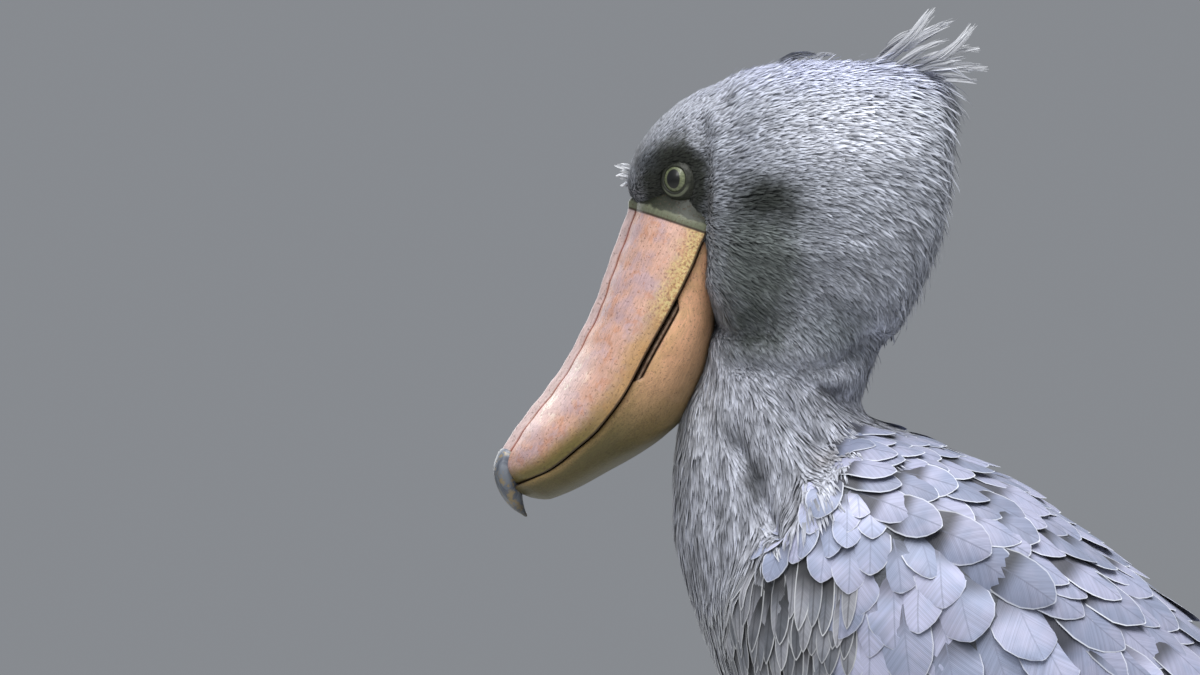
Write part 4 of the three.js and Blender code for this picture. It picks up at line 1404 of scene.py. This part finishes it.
@dataclass(frozen=True)
class HornPlace:
    """Where a point lies on the bill and the noises there, all as sockets."""

    tree: bpy.types.NodeTree
    along: Socket
    across: Socket
    height: Socket  # how far from the mouth line
    wide: Socket
    mid: Socket
    fine: Socket

    def rise(self, value: Socket, low: float, high: float, top: float = 1.0) -> Socket:
        """Returns a factor that grows from 0 to top while a value passes from low to high."""
        return ramp(self.tree, value, low, high, (0.0, top))

    def fade(self, value: Socket, low: float, high: float, top: float = 1.0) -> Socket:
        """Returns a factor that falls from top to 0 while a value passes from low to high."""
        return ramp(self.tree, value, low, high, (top, 0.0))

    def both(self, first: Value, second: Value) -> Socket:
        """Returns the product of two factors."""
        return worked(self.tree, "MULTIPLY", first, second)

    def shaken(self, value: Socket, reach: float) -> Socket:
        """Returns a value raised by the middle noise, for a border that isn't even."""
        return worked(self.tree, "MULTIPLY_ADD", self.mid, reach, value)


Layers = tuple[str, tuple[tuple[Socket, str], ...]]


@dataclass(frozen=True)
class BillHorn:
    """Horn of the bill: rosy orange over ochre, clouded with grey lilac, scratched and finely grained, with a
    painted highlight high on the upper bill and painted shade under the lower one.
    """

    name: str
    under: bool = False

    def material(self) -> bpy.types.Material:
        """Returns the horn's material."""
        made, tree = new_material(self.name)
        coords = object_place(tree)
        along, across, height = numbers(tree, "place")
        grain_place = vector_of(tree, worked(tree, "MULTIPLY", along, 0.18), across, height)
        grain = noise(tree, grain_place, 1.3, 4.0, 0.65, 1.0)
        wide, mid, fine = (noise(tree, coords, size, 5.0) for size in (21.0, 8.0, 1.5))
        place = HornPlace(tree, along, across, height, wide, mid, fine)
        ground, layers = self.lower(place) if self.under else self.upper(place)
        colour = linear(ground)
        for factor, tint in layers:
            colour = mixed(tree, factor, colour, linear(tint))
        colour = toned(tree, colour, ramp(tree, grain, 0.3, 0.7, (0.84, 1.12)))
        pits = place.fade(fine, 0.36, 0.42)
        colour = mixed(tree, place.both(pits, 0.5), colour, linear("5b3c26"))
        relief = worked(tree, "MULTIPLY_ADD", grain, 0.7, worked(tree, "SUBTRACT", mid, pits))
        shade(tree, colour, 0.4, bumped(tree, relief, 0.35, 0.5))
        return made

    def upper(self, at_bill: HornPlace) -> Layers:
        """Returns the upper bill's ground colour and the layers over it, as (factor, colour)."""
        rise, fade, both, shaken = at_bill.rise, at_bill.fade, at_bill.both, at_bill.shaken
        along, across, height = at_bill.along, at_bill.across, at_bill.height
        mid, fine = at_bill.mid, at_bill.fine
        slant = worked(at_bill.tree, "MULTIPLY_ADD", height, 0.207, -5.7)
        edge = worked(at_bill.tree, "SUBTRACT", along, slant)
        low = fade(shaken(height, 18.0), 12.0, 27.0)
        gape = both(low, fade(along, 50.0, 75.0))
        tip_low = both(fade(height, 3.0, 16.0), rise(along, 105.0, 165.0))
        # Painted highlight high on the upper bill toward the tip.
        painted_highlight = both(rise(along, 88.0, 125.0), rise(height, 20.0, 32.0))
        worn = both(rise(mid, 0.5, 0.57), rise(fine, 0.42, 0.52))
        belt = both(rise(along, 96.0, 122.0), fade(along, 150.0, 178.0))
        top = both(rise(height, 20.0, 34.0), belt)
        ridge = fade(across, 7.4, 8.4)
        high = rise(height, 10.0, 16.0)
        groove = both(rise(across, 7.6, 8.4), fade(across, 10.4, 12.0))
        lumps = both(gape, rise(fine, 0.46, 0.56))
        return "d6ab99", (
            (rise(at_bill.wide, 0.42, 0.6, 0.85), "c2a5a9"),
            (rise(mid, 0.5, 0.62, 0.55), "cb9070"),
            (both(low, 0.75), "c49a5c"),
            (both(painted_highlight, 0.75), "e8cfcc"),
            (both(tip_low, 0.92), "6c6430"),
            (both(lumps, 0.8), "e2cf92"),
            (both(both(worn, top), 0.85), "f4ebdc"),
            (both(ridge, both(high, 0.85)), "d0bab8"),
            (both(groove, both(high, 0.9)), "8a4430"),
            (fade(edge, 5.6, 6.8), "463a2e"),
            (fade(edge, 4.2, 5.2), "6f735d"),
            (fade(shaken(edge, 5.0), 2.0, 3.8, 0.95), "2f3327"),
            (fade(height, 0.2, 1.2, 0.85), "35241a"),
        )

    def lower(self, at_bill: HornPlace) -> Layers:
        """Returns the lower bill's ground colour and the layers over it, as (factor, colour)."""
        rise, fade, both = at_bill.rise, at_bill.fade, at_bill.both
        along, height = at_bill.along, at_bill.height
        front = rise(along, 70.0, 145.0)
        # Painted shade on the underside, which faces down, over the horn's own olive: darker further below
        # the mouth line.
        deep = rise(at_bill.shaken(height, 10.0), 12.0, 40.0)
        tip = both(rise(along, 104.0, 155.0), rise(height, 0.5, 7.0))
        # Painted shade along the keel, under the bill, over the horn's own olive.
        keel = fade(at_bill.across, 14.0, 32.0)
        gold = both(fade(height, 3.0, 14.0), rise(at_bill.mid, 0.4, 0.6))
        specks = both(rise(at_bill.fine, 0.54, 0.6), front)
        return "ecb690", (
            (rise(at_bill.wide, 0.42, 0.62, 0.55), "d29f78"),
            (both(gold, 0.4), "d6b078"),
            (both(deep, 0.85), "94784e"),
            (both(front, 0.78), "84753f"),
            (both(tip, 0.8), "4b4a22"),
            (both(keel, 0.75), "4c4829"),
            (both(specks, 0.5), "4c4226"),
            (fade(height, 0.1, 0.7, 0.7), "35241a"),
        )


@dataclass(frozen=True)
class NailHorn:
    """Blue-grey horn of the hooked nail, with streaks of ochre."""

    name: str = "Blue-grey nail horn"

    def material(self) -> bpy.types.Material:
        """Returns the nail's material."""
        made, tree = new_material(self.name)
        along, across, _ = numbers(tree, "place")
        drawn_out = vector_of(tree, worked(tree, "MULTIPLY", along, 0.2), across)
        streaks = noise(tree, drawn_out, 2.2, 4.0, 0.6, 1.0)
        cloud = noise(tree, object_place(tree), 5.0, 4.0)
        colour = mixed(tree, ramp(tree, streaks, 0.4, 0.62), linear("7c828c"), linear("5a606c"))
        colour = mixed(tree, ramp(tree, cloud, 0.5, 0.62, (0.0, 0.8)), colour, linear("9c8860"))
        colour = mixed(tree, ramp(tree, along, 30.0, 43.0, (0.0, 0.7)), colour, linear("3f3f3d"))
        shade(tree, colour, 0.38, bumped(tree, streaks, 0.4, 0.4))
        return made


@dataclass(frozen=True)
class CloudedFinish:
    """A plain surface, clouded between two near tones of the same stuff."""

    name: str
    dark: str
    pale: str
    cloud_mm: float
    roughness: float
    detail: float = 3.0

    def material(self) -> bpy.types.Material:
        """Returns the surface's material."""
        made, tree = new_material(self.name)
        cloud = ramp(tree, noise(tree, object_place(tree), self.cloud_mm, self.detail), 0.35, 0.65)
        shade(tree, mixed(tree, cloud, linear(self.dark), linear(self.pale)), self.roughness)
        return made


# Sections across the bill: (length along, ridge height, mouth line height, half width).
UPPER_ROWS = through((
    (-22, 30, -24, 44), (8, 26, -26.6, 50), (24, 23, -29, 52), (51, 17.6, -31, 53.5), (88, 11.3, -32.2, 54),
    (114, 10, -33.6, 53), (142, 11.6, -31, 49.5), (163, 14.6, -24.8, 44), (182, 16, -17.5, 36),
    (194, 14.8, -9.5, 27), (203, 10.5, -3, 17),
))
# Sections across the lower bill: (length along, keel height, half width).
LOWER_ROWS = through((
    (-10, -32, 40), (20, -47, 45), (54, -65, 49.5), (80, -72.5, 51), (108, -75, 50), (126, -70.5, 48),
    (144, -62.5, 45.5), (165, -50.5, 41), (186, -38, 33), (199, -28, 24), (207, -20, 14),
))
# The nail's middle line on the bill: (length along it, length along the bill, height).
NAIL_PATH = through(((0, 184, 12), (11, 196, 9.4), (22, 206, 1.6), (33, 212.5, -8.6), (46, 217, -20.5)))
# The nail's sections: (length along it, half width, outer height, inner height).
NAIL_ROWS = through(((0, 10.5, 5.6, 6), (14, 14.2, 6.6, 10), (26, 12.2, 5.6, 9), (36, 7.0, 3.8, 4.6),
                     (43, 2.2, 1.6, 1.5), (46, 0.9, 0.8, 0.8)))
SQUARE = 0.87  # makes the bill's sections a little fuller than ovals


def square_turn(angle: float) -> tuple[float, float]:
    """Returns the sine and cosine of an angle on an oval with full shoulders."""
    sine, cosine = math.sin(angle), math.cos(angle)
    return math.copysign(abs(sine) ** SQUARE, sine), math.copysign(abs(cosine) ** SQUARE, cosine)


def on_bill(along: float, side: float, above: float) -> Vector:
    """Returns a point given in lengths along, across and above the bill's axis."""
    return BILL_BASE + BILL_ALONG * along + BILL_UP * above + Vector((side, 0, 0))


@dataclass
class Bill:
    """The shoe-shaped bill: upper and lower half, mouth lining and hooked nail."""

    upper_ends: Row = (-22.0, 203.0)
    lower_ends: Row = (-10.0, 207.0)
    lining_ends: Row = (20.0, 170.0)
    nail_length: float = 46.0
    rim_slope: float = 0.207  # how much further along the raised rim lies for each height
    rim_start: float = 5.7
    slit_at: float = 76.0  # where the halves stand apart
    slit_reach: float = 31.0
    slit_depth: float = 4.2
    slit_end: float = 7.0  # how softly the slit closes

    def upper(self, turn: float, length: float) -> tuple[Vector, Row]:
        """Returns a point of the upper bill and its place on it."""
        start, end = self.upper_ends
        crowded = length + 0.06 * math.sin(2 * math.pi * length) / (2 * math.pi)
        s = start + (end - start) * crowded
        ridge, line, half = UPPER_ROWS(s)
        q = 2 * turn - 1
        sine, cosine = square_turn(math.pi * (0.4 * q + 0.6 * q**3))
        close = rounded(s, start, end, 4, 9)
        x = half * close * sine
        rise = (ridge - line if cosine > 0 else 1.2) * close * cosine
        if cosine > 0:
            groove = 4.8 * (1 - math.exp(-((x / 7.4) ** 6))) + 1.3 * math.exp(-(((abs(x) - 9.2) / 1.5) ** 2))
            rise -= close * groove * min(cosine * 1.6, 1)
            past = s + self.rim_start - self.rim_slope * rise
            rim = math.exp(-((past - 2) / 3) ** 2)
            rise *= 1 + 0.03 * rim
            x *= 1 + 0.02 * rim
            rise += close * 0.4 * math.sin(0.11 * s + 0.09 * abs(x)) * math.sin(0.23 * s + 1.3)
        return on_bill(s, x, line + rise), (s, abs(x), rise)

    def lower(self, turn: float, length: float) -> tuple[Vector, Row]:
        """Returns a point of the lower bill and its place on it."""
        start, end = self.lower_ends
        s = start + (end - start) * length
        keel, half = LOWER_ROWS(s)
        near = min(max((self.slit_reach - abs(s - self.slit_at)) / self.slit_end, 0), 1)
        line = UPPER_ROWS(s)[1] - 1.3 - self.slit_depth * near * near * (3 - 2 * near)
        sine, cosine = square_turn(2 * math.pi * turn)
        close = rounded(s, start, end, 4, 8)
        x = half * close * sine
        fall = (max(line - keel, 3) if cosine > 0 else 0.4) * close * cosine
        return on_bill(s, x, line - fall), (s, abs(x), fall)

    def lining(self, turn: float, length: float) -> tuple[Vector, Row]:
        """Returns a point of the mouth's lining, seen where the bill's edges stand apart."""
        start, end = self.lining_ends
        s = start + (end - start) * length
        half = min(UPPER_ROWS(s)[2], LOWER_ROWS(s)[1]) - 1.0
        close = rounded(s, start, end, 6, 6)
        sine, cosine = square_turn(2 * math.pi * turn)
        above = UPPER_ROWS(s)[1] - 3.4 + 3.4 * close * cosine
        return on_bill(s, half * close * sine, above), (s, 0, 0)

    def nail(self, turn: float, length: float) -> tuple[Vector, Row]:
        """Returns a point of the nail and its place on it."""
        s = self.nail_length * length
        along, above = NAIL_PATH(s)
        ahead, over = NAIL_PATH(min(s + 0.5, self.nail_length))
        behind, under = NAIL_PATH(max(s - 0.5, 0))
        way = Vector((ahead - behind, over - under)).normalized()
        side, outer, inner = NAIL_ROWS(s)
        close = rounded(s, 0, self.nail_length, 5, 1.5)
        sine, cosine = square_turn(2 * math.pi * turn)
        x = side * close * sine
        high = -(outer if cosine < 0 else inner) * close * cosine
        return on_bill(along - way.y * high, x, above + way.x * high), (s, x, high)

    def build(self) -> None:
        """Makes the four pieces."""
        # Dry brown skin of the mouth.
        dry_skin = CloudedFinish("Brown mouth lining", "8a6d58", "b39a84", 4.0, 0.7, 4.0)
        upper_horn, lower_horn = BillHorn("Upper bill horn"), BillHorn("Lower bill horn", True)
        for name, surface, around, along, finish, slot, replaced in (
            ("bill_upper_horn", self.upper, 170, 130, upper_horn, Finish.BILL, ("bill_upper",)),
            ("bill_lower_horn", self.lower, 96, 110, lower_horn, Finish.BILL, ("bill_lower",)),
            ("mouth_lining", self.lining, 60, 50, dry_skin, Finish.BILL, ()),
            ("bill_nail_horn", self.nail, 48, 60, NailHorn(), Finish.NAIL, ("bill_nail",)),
        ):
            finished(wrapped(name, surface, around, along), name, finish.material(), slot, replaced)


@dataclass(frozen=True)
class EyeFinish:
    """A wet eye: a pale grey-green iris round an upright oval pupil, under a clear cornea."""

    name: str = "Pale iris and cornea"
    pupil: Row = (5.0, 6.3)
    iris: float = 8.7

    def material(self) -> bpy.types.Material:
        """Returns the eye's material."""
        made, tree = new_material(self.name)
        across, up, _ = numbers(tree, "place")
        oval = vector_of(tree, worked(tree, "DIVIDE", across, self.pupil[0]),
                         worked(tree, "DIVIDE", up, self.pupil[1]))
        off = vector_worked(tree, "LENGTH", oval).outputs["Value"]
        out = vector_worked(tree, "LENGTH", vector_of(tree, across, up)).outputs["Value"]
        angle = worked(tree, "MULTIPLY", worked(tree, "ARCTAN2", up, across), 3.2)
        spokes = vector_of(tree, angle, worked(tree, "MULTIPLY", out, 0.12))
        rays = noise(tree, spokes, 0.35, 3.0, 0.6, 1.0)
        colour = mixed(tree, ramp(tree, rays, 0.35, 0.65), linear("626950"), linear("848b69"))
        colour = mixed(tree, ramp(tree, off, 1.02, 1.35, (0.45, 0.0)), colour, linear("5e6347"))
        edge = ramp(tree, out, self.iris - 1.3, self.iris, (0.0, 0.9))
        colour = mixed(tree, edge, colour, linear("1c1d17"))
        colour = mixed(tree, ramp(tree, off, 0.95, 1.03, (1.0, 0.0)), colour, linear("08090a"))
        shade(tree, colour, 0.4, Coat_Weight=0.4, Coat_Roughness=0.05)
        return made


@dataclass(frozen=True)
class LidFinish:
    """Bare wrinkled skin of the lids: nearly black at the rim, with a pale line under the eye."""

    name: str = "Bare lid skin"

    def material(self) -> bpy.types.Material:
        """Returns the lids' material."""
        made, tree = new_material(self.name)
        out, upright, _ = numbers(tree, "place")
        wrinkle = noise(tree, object_place(tree), 1.1)
        colour = mixed(tree, ramp(tree, wrinkle, 0.4, 0.6), linear("23251e"), linear("33362b"))
        ring = worked(tree, "MULTIPLY", ramp(tree, out, 9.8, 10.4), ramp(tree, out, 11.2, 12.0, (1.0, 0.0)))
        under = worked(tree, "MULTIPLY", ramp(tree, upright, -0.75, -0.2, (1.0, 0.0)), ring)
        colour = mixed(tree, worked(tree, "MULTIPLY", under, 0.75), colour, linear("7f8570"))
        shade(tree, colour, 0.5, bumped(tree, wrinkle, 0.6, 0.5))
        return made


@dataclass
class Eyes:
    """Both eyes with their lids."""

    rim_length: float = 23.0

    # The lid's section: (length round it, distance from the line of sight, height over the eye's middle).
    rim: Callable[[float], list[float]] = through((
        (0, 8.35, 8.7), (1, 8.5, 9.35), (2, 9.2, 9.6), (4, 10.6, 8.9), (7, 12.4, 7.2), (11, 15, 3.0),
        (15, 12, 1.5), (20, 9.5, 5.5), (23, 8.35, 8.7),
    ))

    def lid(self, turn: float, length: float) -> tuple[Vector, Row]:
        """Returns a point of the left lid and its place on it."""
        out, high = self.rim(self.rim_length * length)
        angle = 2 * math.pi * turn
        across = Vector((EYE_LOOK.y, -EYE_LOOK.x, 0))
        squeeze = 1 - 0.07 * max(math.sin(angle), 0) ** 2 * (out < 10.5)
        wrinkle = 0.25 * math.sin(angle * 9) * math.sin(out * 1.6) * (out > 10.5)
        side = across * math.cos(angle) * 0.97 + Vector((0, 0, math.sin(angle) * squeeze))
        return EYE_MIDDLE + side * out + EYE_LOOK * (high + wrinkle), (out, math.sin(angle), high)

    def ball(self) -> bpy.types.Mesh:
        """Returns the left eyeball, its pole in the line of sight."""
        made = bmesh.new()
        place = made.verts.layers.float_vector.new("place")
        turned = EYE_LOOK.to_track_quat("Z", "Y").to_matrix().to_4x4()
        bmesh.ops.create_uvsphere(made, u_segments=64, v_segments=56, radius=EYE_RADIUS, matrix=turned)
        across = Vector((EYE_LOOK.y, -EYE_LOOK.x, 0))
        for vert in made.verts:
            vert[place] = Vector((vert.co.dot(across), vert.co.z, vert.co.dot(EYE_LOOK)))
            vert.co = at(*(vert.co + EYE_MIDDLE))
        for face in made.faces:
            face.smooth = True
        mesh = bpy.data.meshes.new("eyeball_left")
        made.to_mesh(mesh)
        made.free()
        return mesh

    def build(self) -> None:
        """Makes both sides."""
        eye, lid_skin = EyeFinish().material(), LidFinish().material()
        ball, lid = self.ball(), wrapped("lid_left", self.lid, 72, 46)
        for side, turned in (("left", lambda mesh: mesh), ("right", other_side)):
            finished(turned(ball), f"eyeball_{side}", eye, Finish.EYE, (f"eye_{side}",))
            finished(turned(lid), f"lid_{side}", lid_skin, Finish.HEAD)


def other_side(mesh: bpy.types.Mesh) -> bpy.types.Mesh:
    """Returns a mirror image of a left mesh for the bird's right side."""
    made = bmesh.new()
    made.from_mesh(mesh)
    middle = SHIFT.x * MM
    for vert in made.verts:
        vert.co.x = 2 * middle - vert.co.x
    bmesh.ops.reverse_faces(made, faces=made.faces)
    turned = bpy.data.meshes.new(mesh.name.replace("left", "right"))
    made.to_mesh(turned)
    made.free()
    return turned


@dataclass(frozen=True)
class ScaleFinish:
    """Small horny scales, dark slate, with paler dusty seams between them."""

    name: str
    base: str = "3f4247"
    second: str = "55585d"
    scale_mm: float = 3.2

    def material(self) -> bpy.types.Material:
        """Returns the scales' material."""
        made, tree = new_material(self.name)
        coords = object_place(tree)
        inputs = {"Vector": coords, "Scale": 1 / (self.scale_mm * MM)}
        cells = add_node(tree, "ShaderNodeTexVoronoi", {"feature": "DISTANCE_TO_EDGE"}, inputs)
        edges = cells.outputs["Distance"]
        seam = ramp(tree, edges, 0.0, 0.12, (1.0, 0.0))
        cloud = ramp(tree, noise(tree, coords, 14.0, 4.0), 0.35, 0.65)
        colour = mixed(tree, cloud, linear(self.base), linear(self.second))
        colour = mixed(tree, worked(tree, "MULTIPLY", seam, 0.35), colour, linear("85868a"))
        shade(tree, colour, 0.6, bumped(tree, ramp(tree, edges, 0.0, 0.3), 0.7, 0.5))
        return made


@dataclass(frozen=True)
class Toe:
    """A toe of the left foot."""

    name: str
    length: float
    turn: float  # how far out from straight ahead, in degrees
    thick: float

    def ways(self) -> tuple[Vector, Vector]:
        """Returns the way that it points and the way across it."""
        turn_out = math.radians(self.turn)
        forward = Vector((math.sin(turn_out), -math.cos(turn_out), 0))
        return forward, Vector((0, 0, 1)).cross(forward)


TOES = (Toe("middle", 150, 0, 13), Toe("inner", 116, -21, 11.5), Toe("outer", 126, 31, 11.5),
        Toe("hind", 74, 172, 11))
STANCE = 62.0  # how far the legs stand from the bird's middle
STRIDE = 12.0  # how far the left foot is before its place, and the right one behind it
FOOT_Y = -6.0
CLAW_LENGTH = 22.0
LEG_LENGTH = 382.0  # along the bare leg's middle line
# The bare leg: (length along it, y, z, half width, half depth).
LEG_ROWS = through((
    (0, -22, 378, 9.6, 11), (62, 3, 316, 9, 10.5), (101, 18.5, 279, 11.5, 14), (118, 22.5, 262, 13.4, 17),
    (136, 21.5, 244, 12.2, 15), (160, 19, 220, 8.6, 11), (220, 12.5, 160, 7.4, 9.2), (270, 7.5, 110, 7.3, 9),
    (320, 2.5, 60, 8.2, 10), (348, -1, 32, 11, 13), (368, -4, 12, 13.6, 15.6), (382, -6, -2, 12.6, 14.6),
))


@dataclass
class Legs:
    """Bare legs with long unwebbed toes and blunt claws, standing on the floor."""

    scutes_from: float = 145.0  # how far along the leg its front plates start

    def leg(self, push: float) -> Callable[[float, float], tuple[Vector, Row]]:
        """Returns the surface rule of a left-hand leg set back by push."""
        def surface(turn: float, length: float) -> tuple[Vector, Row]:
            """Returns a point of the leg."""
            s = LEG_LENGTH * length
            y, z, wide, deep = LEG_ROWS(s)
            close = rounded(s, 0, LEG_LENGTH, 4, 6)
            angle = 2 * math.pi * turn
            front = max(-math.sin(angle), 0)
            scute = 0.45 * front * abs(math.sin(math.pi * s / 6.5)) * (s > self.scutes_from)
            x = STANCE + (wide + scute) * close * math.cos(angle)
            point = Vector((x, y + push + (deep + scute) * close * math.sin(angle), max(z, 0)))
            return point, (s, angle, 0)
        return surface

    def toe(self, toe: Toe, push: float) -> Callable[[float, float], tuple[Vector, Row]]:
        """Returns the surface rule of a left-hand toe set back by push."""
        forward, across = toe.ways()

        def surface(turn: float, length: float) -> tuple[Vector, Row]:
            """Returns a point of the toe."""
            s = toe.length * length
            swelling = 1 + 0.1 * math.cos(s / 34 * 2 * math.pi)
            reach = toe.thick / 2 * (1 - 0.34 * length) * swelling * rounded(s, 0, toe.length, 2, 5)
            angle = 2 * math.pi * turn
            upright = math.sin(angle)
            scute = 0.4 * max(upright, 0) * abs(math.sin(math.pi * s / 4.6))
            middle = Vector((STANCE, FOOT_Y + push, toe.thick * (0.42 - 0.12 * length))) + forward * s
            high = upright * (reach * (1.15 if upright > 0 else 1.5) + scute)
            point = middle + across * reach * math.cos(angle) + Vector((0, 0, high))
            point.z = max(point.z, 0)
            return point, (s, angle, 0)
        return surface

    def claw(self, toe: Toe, push: float) -> Callable[[float, float], tuple[Vector, Row]]:
        """Returns the surface rule of a left-hand claw set back by push."""
        forward, across = toe.ways()
        root = Vector((STANCE, FOOT_Y + push, toe.thick * 0.4)) + forward * (toe.length - 5)

        def surface(turn: float, length: float) -> tuple[Vector, Row]:
            """Returns a point of the claw."""
            reach = 3.6 * (1 - length) ** 0.75 + 0.4
            reach *= rounded(length, 0, 1, 0.1, 0.02)
            lift = 3.2 * math.sin(math.pi * min(length * 1.15, 1)) - 3.6 * length * length
            angle = 2 * math.pi * turn
            point = root + forward * (CLAW_LENGTH + 1) * length + across * reach * 0.85 * math.cos(angle)
            point.z = max(point.z + lift + reach * 1.1 * math.sin(angle), 0.2)
            return point, (length, angle, 0)
        return surface

    def build(self) -> None:
        """Makes both legs, the left foot a little ahead of the right one."""
        scales = ScaleFinish("Dark leg scales").material()
        # Near-black horn of the claws, smooth and a little glossy.
        horn = CloudedFinish("Dark claw horn", "26272a", "3a3b3e", 3.0, 0.35).material()
        for side, push in (("left", -STRIDE), ("right", STRIDE)):
            limbs = [wrapped("leg", self.leg(push), 44, 190)]
            limbs += [wrapped("toe", self.toe(toe, push), 28, 84) for toe in TOES]
            claws = [wrapped("claw", self.claw(toe, push), 20, 16) for toe in TOES]
            skins = [f"shank_{side}", f"tarsus_{side}"] + [f"toe_{toe.name}_{side}" for toe in TOES]
            nails = [f"claw_{toe.name}_{side}" for toe in TOES]
            for name, parts, finish, slot, nodes in (
                (f"leg_{side}", limbs, scales, Finish.LEG, skins),
                (f"claws_{side}", claws, horn, Finish.CLAW, nails),
            ):
                whole = in_one(name, parts)
                finished(other_side(whole) if side == "right" else whole, name, finish, slot, nodes)


def in_one(name: str, meshes: Sequence[bpy.types.Mesh]) -> bpy.types.Mesh:
    """Returns one mesh with all faces of several."""
    made = bmesh.new()
    for mesh in meshes:
        made.from_mesh(mesh)
    whole = bpy.data.meshes.new(name)
    made.to_mesh(whole)
    made.free()
    return whole


@dataclass
class Stage:
    """The photograph's level camera, a plain floor and soft studio light."""

    distance: float = 6000.0
    sensor: float = 36.0
    wide: float = 1200 * PHOTO_SCALE
    middle: Row = (600.0, 337.5)

    def build(self) -> None:
        """Sets camera, floor and lights."""
        scene = bpy.context.scene
        y = (self.middle[0] - PHOTO_ZERO.x) * PHOTO_SCALE
        z = (PHOTO_ZERO.y - self.middle[1]) * PHOTO_SCALE
        lens = bpy.data.cameras.new("photo camera")
        lens.sensor_width = self.sensor
        lens.lens = self.sensor * self.distance / self.wide
        lens.clip_end = 100
        camera = bpy.data.objects.new("photo camera", lens)
        camera.location = at(self.distance, y, z)
        camera.rotation_euler = (math.pi / 2, 0, math.pi / 2)
        scene.collection.objects.link(camera)
        scene.camera = camera
        self.floor()
        self.light("overhead", (500, 100, 3200), (0, -50, 850), 2200, 108)
        self.light("key", (2200, -1300, 2600), (0, -100, 900), 1300, 24)
        self.light("fill", (2600, 900, 700), (0, -100, 850), 2200, 6)
        self.light("far side", (-2400, -900, 1700), (0, 0, 700), 2000, 26)
        world = bpy.data.worlds.new("studio")
        world.use_nodes = True
        world.node_tree.nodes["Background"].inputs["Color"].default_value = linear("dfe4ec")
        world.node_tree.nodes["Background"].inputs["Strength"].default_value = 0.33
        scene.world = world
        scene.view_settings.view_transform = "Standard"

    def floor(self) -> None:
        """Lays the floor."""
        made = bmesh.new()
        bmesh.ops.create_grid(made, x_segments=1, y_segments=1, size=12)
        mesh = bpy.data.meshes.new("floor")
        made.to_mesh(mesh)
        made.free()
        floor = bpy.data.objects.new("floor", mesh)
        floor.location.z = -0.0005
        bpy.context.scene.collection.objects.link(floor)
        material, tree = new_material("Matt studio floor")
        coords = add_node(tree, "ShaderNodeTexCoord").outputs["Object"]
        cloud = ramp(tree, noise(tree, coords, 400.0), 0.2, 0.8)
        shade(tree, mixed(tree, cloud, linear("adada9"), linear("b3b3b0")), 0.9)
        mesh.materials.append(material)

    def light(self, name: str, place: Row, target: Row, size: float, power: float) -> None:
        """Hangs a square soft light.

        Args:
            name: the light's name.
            place: where it hangs, in the bird's own millimetres.
            target: what it shines at.
            size: its width in millimetres.
            power: its power in watts.
        """
        lamp = bpy.data.lights.new(name, "AREA")
        lamp.size = size * MM
        lamp.energy = power
        hung = bpy.data.objects.new(name, lamp)
        hung.location = at(*place)
        aim = at(*target) - at(*place)
        hung.rotation_euler = aim.to_track_quat("-Z", "Y").to_euler()
        bpy.context.scene.collection.objects.link(hung)


def main() -> None:
    """Builds the bird and its stage."""
    Stage().build()
    skin = Skin()
    skin.build()
    HeadCoat().build(skin)
    NeckCoat().build(skin)
    BodyCoat().build(skin)
    Wings().build(skin)
    Tail().build(skin)
    Crest().build()
    Bill().build()
    Eyes().build()
    Legs().build()


if __name__ == "__main__":
    main()
